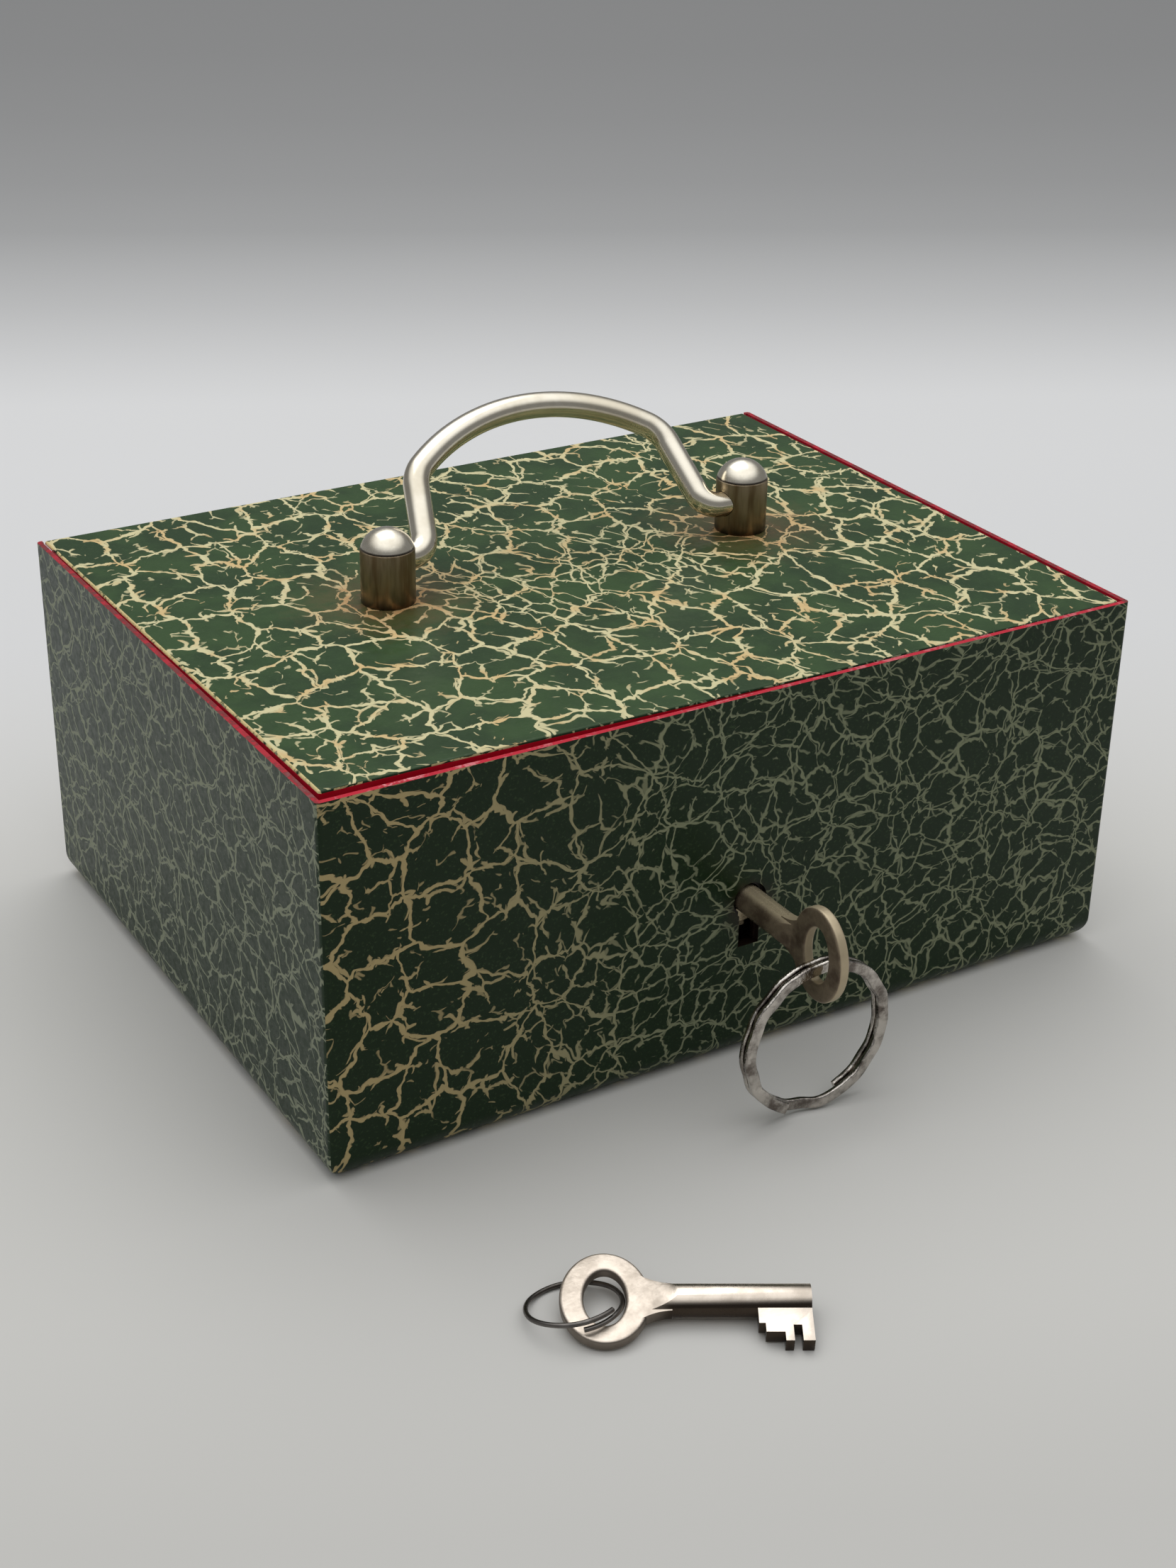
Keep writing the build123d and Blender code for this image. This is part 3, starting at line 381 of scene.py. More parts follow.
def crackle_net(tree, place, coarse, settings):
    """The crackle of the enamel: main cracks, the spurs that leave them and hair-thin strokes."""
    for scale, amount in WANDERS:
        place = tree.group(wander_group(), Vector=place, Scale=scale, Amount=amount, Detail=0.0)["Vector"]
    main = crack_lines(tree, place, coarse, 1.0, settings, **MAIN_CRACKS)
    beside_main = tree.ramp(main["Distance"], 0.0003, 0.0030, 1.0, 0.0)
    spur_place = tree.turned(place, 0.9, (0.137, 0.052, 0.0))
    spurs = crack_lines(tree, spur_place, coarse, beside_main, settings, **SPURS)
    beside_spurs = tree.ramp(spurs["Distance"], 0.0002, 0.0014, 1.3, 0.0)
    close_to_main = tree.ramp(main["Distance"], 0.0003, 0.0018, 1.3, 0.0)
    beside = tree.math("MAXIMUM", beside_spurs, close_to_main)
    stroke_place = tree.turned(place, -0.6, (0.411, 0.237, 0.0), (0.8, 1.0, 1.0))
    strokes = crack_lines(tree, stroke_place, coarse, beside, settings, **STROKES)
    wide = tree.math("MAXIMUM", main["Crack"], tree.times(spurs["Crack"], SPUR_STRENGTH))
    return tree.math("MAXIMUM", wide, tree.times(strokes["Crack"], STROKE_STRENGTH))


def crack_coarseness(tree, place, front_face, side, level):
    """How coarse the crackle is: 1 at the front's left end, fine at its right end and between the posts."""
    x = tree.split(place)[0]
    front = tree.times(front_face, tree.ramp(x, 0.0, -0.09, 0.0, 0.95))
    between = tree.vector("SUBTRACT", place, (0.004, -0.002, BOX_HEIGHT))
    gap = tree.vector("LENGTH", tree.vector("MULTIPLY", between, (1.0, 2.0, 0.0)))
    top = tree.times(level, tree.ramp(gap, 0.025, 0.06, 0.2, 0.85))
    return tree.math("ADD", tree.math("ADD", front, top), tree.times(side, 0.12))


def plain(colour):
    """A colour setting as the four values of a shader socket."""
    return tuple(colour) + (1.0,)


def film_and_cream(tree, place, front_face, side, level, settings):
    """The tones of the green top coat and of the cream under it, which differ from face to face. The walls'
    darker green and the darker cream on the front and back are painted shade; the sides' cream is darker as
    painted shade, and their green, specks and cream are greyed by a painted sheen. The cream at the front's
    left end is also really browner.
    """
    x = tree.split(place)[0]
    blotch = tree.ramp(tree.noise(place, *BLOTCHES), 0.35, 0.65)
    speck = tree.ramp(tree.noise(place, *SPECKS), 0.56, 0.72, 0.0, 0.35)
    green = tree.mix(blotch, plain(settings.film_dark), plain(settings.film_light))
    # The walls take a darker green than the lid: painted shade.
    green = tree.mix(tree.inverse(level), green, plain(settings.shaded_wall_green))
    # A painted sheen greys the sides' green and specks.
    green = tree.mix(tree.times(side, 0.5), green, SIDE_GREEN_SHEEN)
    green = tree.mix(speck, green, tree.mix(side, LEVEL_SPECK, SIDE_SPECK_SHEEN))
    patches = tree.ramp(tree.noise(place, *PATCHES), 0.45, 0.70)
    cream = tree.mix(patches, plain(settings.crack_colour), TAN_PATCH)
    # The cream on the front and back is darkened as painted shade, and browner toward the left.
    shaded_front_cream = tree.mix(tree.ramp(x, -0.01, -0.09), FRONT_CREAM_SHADED_RIGHT, FRONT_CREAM_SHADED_LEFT)
    cream = tree.mix(front_face, cream, shaded_front_cream)
    # The sides' cream is darkened as painted shade and greyed as a painted sheen.
    cream = tree.mix(side, cream, SIDE_CREAM_SHADE_SHEEN)
    return green, cream


def stain_masks(tree, place, crack, rubbed):
    """The brown stains round the posts, which follow the cracks, and round the keyhole."""
    left, right = (tree.vector("DISTANCE", place, tuple(post)) for post in (POST_LEFT, POST_RIGHT))
    near = tree.math("MINIMUM", left, right)
    edge = tree.line(rubbed, 0.030, near)
    wash = tree.ramp(edge, 0.018, 0.042, 0.8, 0.0)
    close = tree.ramp(edge, 0.018, 0.027, 0.6, 0.0)
    posts = tree.times(wash, tree.line(crack, 0.75, 0.4))
    posts = tree.math("MAXIMUM", posts, close)
    keyhole = tree.vector("DISTANCE", place, (0.0, -HALF_DEPTH, KEYHOLE_MIDDLE))
    keyhole = tree.line(rubbed, 0.006, keyhole)
    return posts, tree.ramp(keyhole, 0.006, 0.0115, 0.8, 0.0)


def keyhole_shade_mask(tree, place, normal):
    """1 on the walls of the keyhole and the parts just behind it, which painted shade darkens."""
    y = tree.split(place)[1]
    from_hole = tree.vector("SUBTRACT", place, (0.0, 0.0, KEYHOLE_MIDDLE))
    reach = tree.vector("LENGTH", tree.vector("MULTIPLY", from_hole, (1.0, 0.0, 1.0)))
    near = tree.times(tree.ramp(reach, 0.010, 0.013, 1.0, 0.0), tree.math("LESS_THAN", y, -0.060))
    front = tree.math("LESS_THAN", normal[1], -FACING)
    outside = tree.times(front, tree.math("LESS_THAN", y, 0.0002 - HALF_DEPTH))
    return tree.times(near, tree.inverse(outside))


def rim_tones(tree, place, rim, chips, red):
    """The rim's red, with pale chips round its front-left corner and tarnish along its sides."""
    spread = tree.ramp(tree.vector("DISTANCE", place, RIM_CORNER), 0.004, 0.05, 0.9, 0.3)
    pale = tree.times(tree.times(tree.ramp(chips, 0.50, 0.66), spread), rim)
    red = tree.mix(pale, red, PALE_CHIP)
    off_middle = tree.math("ABSOLUTE", tree.split(place)[0])
    on_side = tree.math("GREATER_THAN", off_middle, HALF_WIDTH - RIM_WIDTH)
    tarnished = tree.times(tree.times(on_side, rim), tree.ramp(chips, 0.40, 0.58, 0.25, 0.85))
    return tree.mix(tarnished, red, RIM_TARNISH)


def worn_fold(tree, normal, chips):
    """1 where the lid's left rounded edge is worn down to the cream."""
    fold = tree.math("LESS_THAN", normal[2], FOLD_TOP)
    fold = tree.times(fold, tree.math("GREATER_THAN", normal[2], FOLD_FOOT))
    fold = tree.times(fold, tree.math("LESS_THAN", normal[0], -0.2))
    return tree.times(fold, tree.ramp(chips, 0.36, 0.52))


def enamel_material(kind):
    """Green enamel crazed over cream, with red lacquer on the rim and inside, wear and stains."""
    settings = bpy.context.scene.valuables_box_enamel
    material, tree, bsdf, texture = new_material("crackle_enamel_" + kind)
    place, normal = texture["Object"], tree.split(texture["Normal"])
    side, front_face, level = (
        tree.math("GREATER_THAN", tree.math("ABSOLUTE", part), FACING) for part in normal
    )
    coarse = crack_coarseness(tree, place, front_face, side, level)
    crack = crackle_net(tree, unfold(tree, place, side, level), coarse, settings)
    green, cream = film_and_cream(tree, place, front_face, side, level, settings)
    colour = tree.mix(crack, green, cream)
    rubbed = tree.noise(place, *RUBBED)
    posts, keyhole = stain_masks(tree, place, crack, rubbed)
    rust = tree.line(crack, 0.6, tree.times(rubbed, 0.5))
    colour = tree.mix(posts, colour, tree.mix(rust, RUST_DARK, RUST_LIGHT))
    colour = tree.mix(keyhole, colour, KEYHOLE_STAIN)

    chips = tree.noise(place, *CHIPS)
    red = tree.mix(tree.ramp(chips, 0.4, 0.6), plain(settings.lacquer), CHIPPED_RED)
    if kind == "shell":
        at_top = tree.math("GREATER_THAN", tree.split(place)[2], BOX_HEIGHT - 0.0002)
        rim = tree.times(tree.math("GREATER_THAN", normal[2], FACING), at_top)
        from_centre = tree.vector("SUBTRACT", place, SHELL_CENTRE)
        outward = tree.vector("DOT_PRODUCT", texture["Normal"], from_centre)
        lacquer = tree.math("MAXIMUM", rim, tree.math("LESS_THAN", outward, 0.0), clamp=True)
        red = rim_tones(tree, place, rim, chips, red)
    else:
        colour = tree.mix(worn_fold(tree, normal, chips), colour, WORN_FOLD)
        lacquer = tree.math("LESS_THAN", normal[2], FOLD_FOOT)
        front_edge = tree.times(lacquer, tree.math("LESS_THAN", normal[1], -0.5))
        red = tree.mix(front_edge, red, LID_EDGE_RED)
    colour = tree.mix(lacquer, colour, red)
    if kind == "shell":
        # Painted shade in and behind the keyhole.
        colour = tree.mix(keyhole_shade_mask(tree, place, normal), colour, KEYHOLE_PAINTED_SHADE)

    satin = tree.ramp(tree.noise(place, *SATIN), 0.3, 0.7, 0.30, 0.44)
    dull = tree.times(tree.math("MAXIMUM", crack, posts), 0.62)
    grain = tree.noise(place, *GRAIN)
    skin = tree.inverse(tree.times(crack, tree.inverse(lacquer)))
    height = tree.line(grain, 0.12, skin)
    tree.feed(bsdf, {
        "Base Color": colour, "Roughness": tree.math("MAXIMUM", satin, dull),
        "Specular IOR Level": ENAMEL_SPECULAR, "Normal": tree.bump(height, 0.6, 0.00012),
    })
    return material


@cache
def metal_group():
    """The tones, gloss and fine surface of a used metal: clouds of tarnish and a hammered or cast grain."""
    tree, given, out = new_group(
        "Used Metal",
        {"Vector": None, "Cloud Scale": 90.0, "Grain Scale": 1400.0, "Wave Scale": 250.0, "Wave": 0.0,
         "Gloss Low": 0.2, "Gloss High": 0.4},
        ("Tarnish", "Roughness", "Height"),
    )
    place = given["Vector"]
    cloud = tree.noise(place, given["Cloud Scale"], 4.0, 0.65)
    grain = tree.noise(place, given["Grain Scale"], 3.0, 0.6)
    wave = tree.noise(place, given["Wave Scale"], 1.0)
    blend = tree.line(grain, 0.35, tree.times(cloud, 0.65))
    spread = tree.math("SUBTRACT", given["Gloss High"], given["Gloss Low"])
    tree.feed(out, {
        "Tarnish": tree.ramp(cloud, 0.38, 0.68),
        "Roughness": tree.line(tree.ramp(blend, 0.3, 0.7), spread, given["Gloss Low"]),
        "Height": tree.line(wave, given["Wave"], grain),
    })
    return tree.data


def metal_material(name, light, dark, gloss, depth=0.00003, **grain):
    """Bare or plated metal in two tones, with its gloss as the lowest and highest roughness.

    Depth is that of the fine surface, in metres. Grain holds inputs of the shared group by name.
    """
    material, tree, bsdf, texture = new_material(name)
    used = tree.group(
        metal_group(), Vector=texture["Object"], Gloss_Low=gloss[0], Gloss_High=gloss[1], **grain,
    )
    tree.feed(bsdf, {
        "Base Color": tree.mix(used["Tarnish"], light, dark), "Metallic": 1.0,
        "Roughness": used["Roughness"], "Normal": tree.bump(used["Height"], 0.5, depth),
    })
    return material


# Where the browned barrel of a post ends below its dome
BARREL_TOP = BOX_HEIGHT + 12.9 * MM


def post_material():
    """Plated posts: bright domes, barrels browned in streaks, and darker in the groove under the dome and
    toward the foot.
    """
    nickel = plain(bpy.context.scene.valuables_box_metal.nickel)
    material, tree, bsdf, texture = new_material("post_nickel")
    place = texture["Object"]
    z = tree.split(place)[2]
    streaks = tree.noise(tree.turned(place, stretch=(1.0, 1.0, 0.12)), 420.0, 3.0, 0.6)
    used = tree.group(metal_group(), Vector=place, Cloud_Scale=160.0, Gloss_Low=0.16, Gloss_High=0.30)
    barrel = tree.ramp(z, BARREL_TOP, BARREL_TOP - 0.0003)
    brown = tree.mix(tree.ramp(streaks, 0.32, 0.70), POST_BROWN_LIGHT, POST_BROWN_DARK)
    dome = tree.mix(tree.times(used["Tarnish"], 0.5), nickel, DOME_TARNISH)
    colour = tree.mix(barrel, dome, brown)
    # Darker in the groove under the dome and toward the foot on the lid.
    off_groove = tree.math("ABSOLUTE", tree.math("SUBTRACT", z, BARREL_TOP))
    groove = tree.ramp(off_groove, 0.0001, 0.0004, 0.85, 0.0)
    foot = tree.ramp(z, BOX_HEIGHT + 0.0002, BOX_HEIGHT + 0.0022, 0.7, 0.0)
    colour = tree.mix(tree.math("MAXIMUM", groove, foot), colour, POST_GROOVE_FOOT_DARK)
    tree.feed(bsdf, {
        "Base Color": colour, "Metallic": 1.0, "Roughness": tree.line(barrel, 0.14, used["Roughness"]),
        "Normal": tree.bump(used["Height"], 0.5, 0.00002),
    })
    return material


def lacquer_material():
    """The red lacquer of the inside fittings, with painted shade round the keyhole."""
    settings = bpy.context.scene.valuables_box_enamel
    material, tree, bsdf, texture = new_material("red_lacquer")
    place = texture["Object"]
    cloud = tree.noise(place, 90.0, 3.0)
    red = tree.mix(tree.ramp(cloud, 0.35, 0.7), plain(settings.lacquer), INSIDE_RED)
    # Painted shade round the keyhole, seen through it.
    shade_in_keyhole = keyhole_shade_mask(tree, place, tree.split(texture["Normal"]))
    tree.feed(bsdf, {
        "Base Color": tree.mix(shade_in_keyhole, red, KEYHOLE_PAINTED_SHADE), "Roughness": tree.ramp(cloud, 0.3, 0.7, 0.34, 0.44),
        "Specular IOR Level": ENAMEL_SPECULAR,
    })
    return material


def deselect():
    """Nothing selected, in object mode."""
    if bpy.context.object and bpy.context.object.mode != "OBJECT":
        bpy.ops.object.mode_set(mode="OBJECT")
    bpy.ops.object.select_all(action="DESELECT")


def pick(piece):
    """Select one piece and make it the active one."""
    piece.select_set(True)
    bpy.context.view_layer.objects.active = piece


def edit_all():
    """Edit mode, with everything selected."""
    bpy.ops.object.mode_set(mode="EDIT")
    bpy.ops.mesh.select_all(action="SELECT")


def smooth_below(angle):
    """Smooth shading, but sharp edges where the faces meet at more than an angle in degrees."""
    bpy.ops.object.shade_smooth_by_angle(angle=math.radians(angle))


def open_ring(name, radius, place, facing, vertices):
    """Start a bar or a turned piece: a ring of edges, selected, in edit mode."""
    deselect()
    turn = Vector(facing).to_track_quat("Z", "Y").to_euler()
    bpy.ops.mesh.primitive_circle_add(
        vertices=vertices, radius=radius, fill_type="NOTHING", location=place, rotation=turn,
    )
    piece = bpy.context.object
    piece.name = name
    edit_all()
    return piece


def close_piece(smooth):
    """Close the open ends, point all faces out, leave edit mode and set the shading."""
    bpy.ops.mesh.select_all(action="SELECT")
    bpy.ops.mesh.remove_doubles(threshold=0.000001)
    bpy.ops.mesh.fill_holes(sides=0)
    bpy.ops.mesh.normals_make_consistent(inside=False)
    bpy.ops.object.mode_set(mode="OBJECT")
    bpy.ops.object.transform_apply(location=True, rotation=True, scale=True)
    smooth_below(smooth)


def run_on(length, facing):
    """Extrude the open ring straight ahead."""
    bpy.ops.mesh.extrude_edges_move(TRANSFORM_OT_translate={"value": facing * length})


def turn_on(angle, centre, axis, steps):
    """Spin the open ring about an axis by an angle in degrees, anticlockwise seen along it."""
    bpy.ops.mesh.spin(steps=steps, angle=-math.radians(angle), center=centre, axis=axis)


def finish_piece(piece, body, slot, *nodes):
    """Put a piece on its body in place of its CAD nodes."""
    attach(piece, body)
    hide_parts(*nodes)


# The handle, in its own leaning plane: millimetres and degrees, bends to the left positive
HANDLE_PIVOT = Vector((0.0024, 0.00465, 0.095))
HANDLE_LEAN = 45.0
HANDLE_START = (-46.2, 1.7)
HANDLE_HEADING = -1.79765
ROD_RADIUS = 2.99
ROD_SIDES = 32
ROD_SMOOTH = 60.0
HANDLE_STEPS = (
    5.61245,
    (4.6, 79.00345, 14),
    12.04277,
    (9.0, -40.44529, 10),
    (49.9657, -73.07097, 36),
    (9.0, -44.66455, 10),
    13.74717,
    (4.6, 79.17736, 14),
    6.50115,
)


def build_handle():
    """The bent rod of the handle, from its left foot to its right one."""
    lean = math.radians(HANDLE_LEAN)
    across = Vector((1.0, 0.0, 0.0))
    up = Vector((0.0, math.sin(lean), math.cos(lean)))
    axis = across.cross(up)
    place = HANDLE_PIVOT + across * HANDLE_START[0] * MM + up * HANDLE_START[1] * MM
    facing = Matrix.Rotation(math.radians(HANDLE_HEADING), 3, axis) @ across
    piece = open_ring("handle_rod", ROD_RADIUS * MM, place, facing, ROD_SIDES)
    for step in HANDLE_STEPS:
        if isinstance(step, float):
            run_on(step * MM, facing)
            place = place + facing * step * MM
            continue
        radius, angle, count = step
        centre = place + axis.cross(facing) * math.copysign(radius * MM, angle)
        turn_on(angle, centre, axis, count)
        turn = Matrix.Rotation(math.radians(angle), 3, axis)
        place = centre + turn @ (place - centre)
        facing = turn @ facing
    close_piece(ROD_SMOOTH)
    return piece


# A post's radii and heights above the lid, in millimetres, up to the foot of its dome
POST_PROFILE = (
    (2.4, -3.4), (3.3, -3.2), (3.75, -2.7), (3.8, -2.0), (2.5, -2.0), (2.5, 0.0),
    (5.75, 0.0), (6.0, 0.1), (6.1, 0.4), (6.1, 6.0), (6.1, 12.3), (6.04, 12.56), (5.82, 12.72),
    (5.74, 12.82),
)
DOME_CENTRE = 10.909
DOME_RADIUS = 6.29
DOME_START = 18.6
DOME_RINGS = 12
POST_SIDES = 64
POST_SMOOTH = 35.0
POST_HOLE = 3.07
POST_HOLE_PAST = 0.5
POST_HOLE_OUT = 7.6
POST_HOLE_SIDES = 40
PIVOT_AT_LEFT = Vector((-0.0444, 0.005866, 0.096216))
PIVOT_AT_RIGHT = Vector((0.0492, 0.003788, 0.094138))


def build_post(name, foot, pivot, inner):
    """A turned post: riveted tail, shank, barrel, groove and dome, drilled for the rod's end."""
    rings = [math.radians(DOME_START + (90.0 - DOME_START) * i / DOME_RINGS) for i in range(DOME_RINGS)]
    dome = [(DOME_RADIUS * math.cos(turn), DOME_CENTRE + DOME_RADIUS * math.sin(turn)) for turn in rings]
    profile = list(POST_PROFILE) + dome
    radius, height = profile[0]
    piece = open_ring(name, radius * MM, foot + UP * (height * MM), UP, POST_SIDES)
    for next_radius, next_height in profile[1:]:
        run_on((next_height - height) * MM, UP)
        share = next_radius / radius
        centre = foot + UP * (next_height * MM)
        bpy.ops.transform.resize(value=(share, share, 1.0), center_override=centre)
        radius, height = next_radius, next_height
    run_on((DOME_CENTRE + DOME_RADIUS - height) * MM, UP)
    bpy.ops.mesh.merge(type="CENTER")
    close_piece(POST_SMOOTH)
    drill_post(piece, pivot, inner)
    return piece


def drill_post(piece, pivot, inner):
    """Cut the blind cross hole in which the handle's end turns, along the handle's own pivot line."""
    deselect()
    line = (PIVOT_AT_RIGHT - PIVOT_AT_LEFT).normalized() * inner
    depth = (POST_HOLE_OUT + POST_HOLE_PAST) * MM
    bpy.ops.mesh.primitive_cylinder_add(
        vertices=POST_HOLE_SIDES, radius=POST_HOLE * MM, depth=depth,
        location=pivot + line * (depth / 2 - POST_HOLE_PAST * MM),
        rotation=line.to_track_quat("Z", "Y").to_euler(),
    )
    drill = bpy.context.object
    deselect()
    pick(piece)
    cut = piece.modifiers.new("cross_hole", "BOOLEAN")
    cut.operation = "DIFFERENCE"
    cut.solver = "EXACT"
    cut.object = drill
    bpy.ops.object.modifier_apply(modifier=cut.name)
    bpy.data.objects.remove(drill)
    smooth_below(POST_SMOOTH)


# How a copy of a CAD node is made whole and rounded: metres and degrees
SAME_PLACE = 0.000002
SAME_FACE = 1.5
WORN_SEGMENTS = 2
WORN_FROM = 30.0
COPY_SMOOTH = 38.0


def soften(node, name, width):
    """A copy of a CAD node with its flat faces made whole and its edges rounded."""
    deselect()
    piece = bpy.data.objects.new(name, NODES[node].data.copy())
    bpy.context.scene.collection.objects.link(piece)
    pick(piece)
    edit_all()
    bpy.ops.mesh.customdata_custom_splitnormals_clear()
    bpy.ops.mesh.remove_doubles(threshold=SAME_PLACE)
    bpy.ops.mesh.dissolve_limited(angle_limit=math.radians(SAME_FACE))
    bpy.ops.object.mode_set(mode="OBJECT")
    bevel = piece.modifiers.new("worn_edges", "BEVEL")
    bevel.width = width
    bevel.segments = WORN_SEGMENTS
    bevel.limit_method = "ANGLE"
    bevel.angle_limit = math.radians(WORN_FROM)
    bevel.use_clamp_overlap = True
    bpy.ops.object.modifier_apply(modifier=bevel.name)
    smooth_below(COPY_SMOOTH)
    return piece


# The lid's worn edges, and where its sheet bulges so that its red front edge shows, in metres
LID_WORN_EDGE = 0.0002
LID_BULGE_PLACE = Vector((-0.075, -0.0725, BOX_HEIGHT))
LID_BULGE = 0.0009
LID_BULGE_REACH = 0.11
LID_CUTS = 10
LID_CUT_STEP = 0.012


def build_lid():
    """The lid: a softened copy of its sheet that bulges a little at its front edge."""
    piece = soften("lid_panel", "enamelled_lid", LID_WORN_EDGE)
    bpy.ops.object.mode_set(mode="EDIT")
    corner = Vector(RIM_CORNER)
    for index in range(1, LID_CUTS + 1):
        for way in ((1.0, 0.0, 0.0), (0.0, 1.0, 0.0)):
            bpy.ops.mesh.select_all(action="SELECT")
            bpy.ops.mesh.bisect(plane_co=corner + Vector(way) * index * LID_CUT_STEP, plane_no=way)
    bpy.ops.mesh.select_all(action="DESELECT")
    bpy.ops.object.mode_set(mode="OBJECT")
    vertices = piece.data.vertices
    middle = min(vertices, key=lambda vertex: (vertex.co - LID_BULGE_PLACE).length)
    middle.select = True
    bpy.ops.object.mode_set(mode="EDIT")
    bpy.ops.transform.translate(
        value=(0.0, 0.0, LID_BULGE), use_proportional_edit=True, proportional_edit_falloff="SMOOTH",
        proportional_size=LID_BULGE_REACH,
    )
    bpy.ops.object.mode_set(mode="OBJECT")
    smooth_below(COPY_SMOOTH)
    return piece


# The split ring: millimetres and degrees
RING_CENTRE = Vector((0.0, -0.1011, 0.0188))
RING_MEAN = 16.9
RING_RADIAL = 2.6
RING_AXIAL = 1.25
RING_PITCH = 1.75
RING_ROUNDING = 0.42
RING_STEP_HALF = 20.0
RING_END_GAP = 3.0
RING_STEP = 4.0
RING_SMOOTH = 50.0

# The waves of its hammered strip: how many to a turn, their height in millimetres and their start
RING_WAVES_OUT = ((11.0, 0.13, 0.0), (17.0, 0.078, 0.9))
RING_WAVES_ALONG = ((13.0, 0.08, 0.4),)


def ring_wave(angle, waves):
    """How far the hammered strip lies out of true at an angle, in millimetres."""
    turn = math.radians(angle)
    return sum(height * math.sin(count * turn + start) for count, height, start in waves)


def build_split_ring():
    """The split ring: two flat turns of rounded strip joined by a short step at the bottom."""
    axis = Vector((0.0, -1.0, 0.0))
    start = RING_STEP_HALF + RING_END_GAP
    out = Matrix.Rotation(math.radians(start), 3, axis) @ Vector((0.0, 0.0, -1.0))
    place = RING_CENTRE + out * RING_MEAN * MM - axis * RING_PITCH / 2 * MM
    section = Matrix((out, axis, out.cross(axis))).transposed().to_euler()
    deselect()
    bpy.ops.mesh.primitive_plane_add(size=RING_RADIAL * MM, location=place, rotation=section)
    piece = bpy.context.object
    piece.name = "split_ring"
    edit_all()
    bpy.ops.transform.resize(value=(1.0, RING_AXIAL / RING_RADIAL, 1.0), center_override=place)
    bpy.ops.mesh.bevel(offset=RING_ROUNDING * MM, segments=3, affect="VERTICES")
    bpy.ops.mesh.delete(type="ONLY_FACE")
    bpy.ops.mesh.select_all(action="SELECT")
    flat_turn = round((360.0 - start - RING_STEP_HALF) / RING_STEP)
    climb = round(2 * RING_STEP_HALF / RING_STEP)
    done = Vector((0.0, 0.0))
    for index in range(2 * flat_turn + climb):
        angle = start + (index + 1) * RING_STEP
        share = min(max((index + 1 - flat_turn) / climb, 0.0), 1.0)
        along = share * share * (3 - 2 * share) * RING_PITCH + ring_wave(angle, RING_WAVES_ALONG)
        moved = Vector((ring_wave(angle, RING_WAVES_OUT), along))
        outward = Matrix.Rotation(math.radians(angle), 3, axis) @ Vector((0.0, 0.0, -1.0))
        turn_on(RING_STEP, RING_CENTRE, axis, 1)
        step = outward * (moved.x - done.x) + axis * (moved.y - done.y)
        bpy.ops.transform.translate(value=step * MM)
        done = moved
    close_piece(RING_SMOOTH)
    return piece


# The floor's tones, from 0 to 255, at distances in metres behind the box's middle: their bright band just
# behind the box is painted light, and their fall far behind it painted shade
FLOOR_PAINTED_LIGHT_TONES = (
    (-0.6, 185), (-0.21, 189), (-0.155, 196), (-0.04, 197), (0.02, 204), (0.16, 208), (0.32, 209),
    (0.39, 208), (0.43, 201), (0.52, 181), (0.65, 154), (0.75, 145), (0.9, 138), (1.1, 134), (1.9, 134),
)
FLOOR_WARMTH = 4
FLOOR_WARM_TO = 0.1
FLOOR_TURN = 5.0
FLOOR_SIZE = 12.0

# The lamp above and behind the box, in metres
LAMP_PLACE = (0.1, 0.5, 1.3)
LAMP_TARGET = (0.0, 0.0, 0.05)
LAMP_SIZE = 1.1

# The sky: its colour, and where it starts to brighten from the horizon's strength to the top's
SKY_COLOUR = (0.98, 0.99, 1.0, 1.0)
SKY_LOW, SKY_HIGH = 0.42, 0.88
SKY_HORIZON, SKY_TOP = 0.26, 1.5


def floor_material():
    """The pale floor, with a band of painted light just behind the box and painted shade far behind it."""
    material, tree, bsdf, texture = new_material("studio_floor")
    turn = math.radians(CAMERA_AZIMUTH + FLOOR_TURN)
    away = (-math.sin(turn), math.cos(turn), 0.0)
    depth = tree.vector("DOT_PRODUCT", texture["Object"], away)
    near, far = FLOOR_PAINTED_LIGHT_TONES[0][0], FLOOR_PAINTED_LIGHT_TONES[-1][0]
    span = tree.node("ShaderNodeMapRange", {"Value": depth, "From Min": near, "From Max": far})
    ramp = tree.add("ShaderNodeValToRGB")
    tree.feed(ramp.inputs, {0: span[0]})
    ramp.color_ramp.interpolation = "LINEAR"
    elements = ramp.color_ramp.elements
    while len(elements) < len(FLOOR_PAINTED_LIGHT_TONES):
        elements.new(0.5)
    for element, (at, tone) in zip(elements, FLOOR_PAINTED_LIGHT_TONES):
        element.position = (at - near) / (far - near)
        warmth = FLOOR_WARMTH if at < FLOOR_WARM_TO else 0
        element.color = linear(tone + warmth / 3, tone, tone - warmth)
    tree.feed(bsdf, {"Base Color": ramp.outputs[0], "Roughness": 0.8, "Specular IOR Level": 0.1})
    return material


def studio_world(level):
    """A soft overhead sky: bright above and dark grey near the horizon."""
    world = bpy.data.worlds.new("studio")
    world.use_nodes = True
    tree = Tree(world.node_tree)
    height = tree.split(tree.add("ShaderNodeTexCoord").outputs["Generated"])[2]
    strength = tree.ramp(height, SKY_LOW, SKY_HIGH, SKY_HORIZON * level, SKY_TOP * level)
    tree.feed(world.node_tree.nodes["Background"].inputs, {"Color": SKY_COLOUR, "Strength": strength})
    return world


def overhead_lamp(power):
    """The soft square lamp above and behind the box, turned to it."""
    data = bpy.data.lights.new("overhead", "AREA")
    data.shape = "SQUARE"
    data.size = LAMP_SIZE
    data.energy = power
    lamp = bpy.data.objects.new("overhead", data)
    lamp.location = LAMP_PLACE
    lamp.rotation_euler = (Vector(LAMP_TARGET) - Vector(LAMP_PLACE)).to_track_quat("-Z", "Y").to_euler()
    bpy.context.scene.collection.objects.link(lamp)


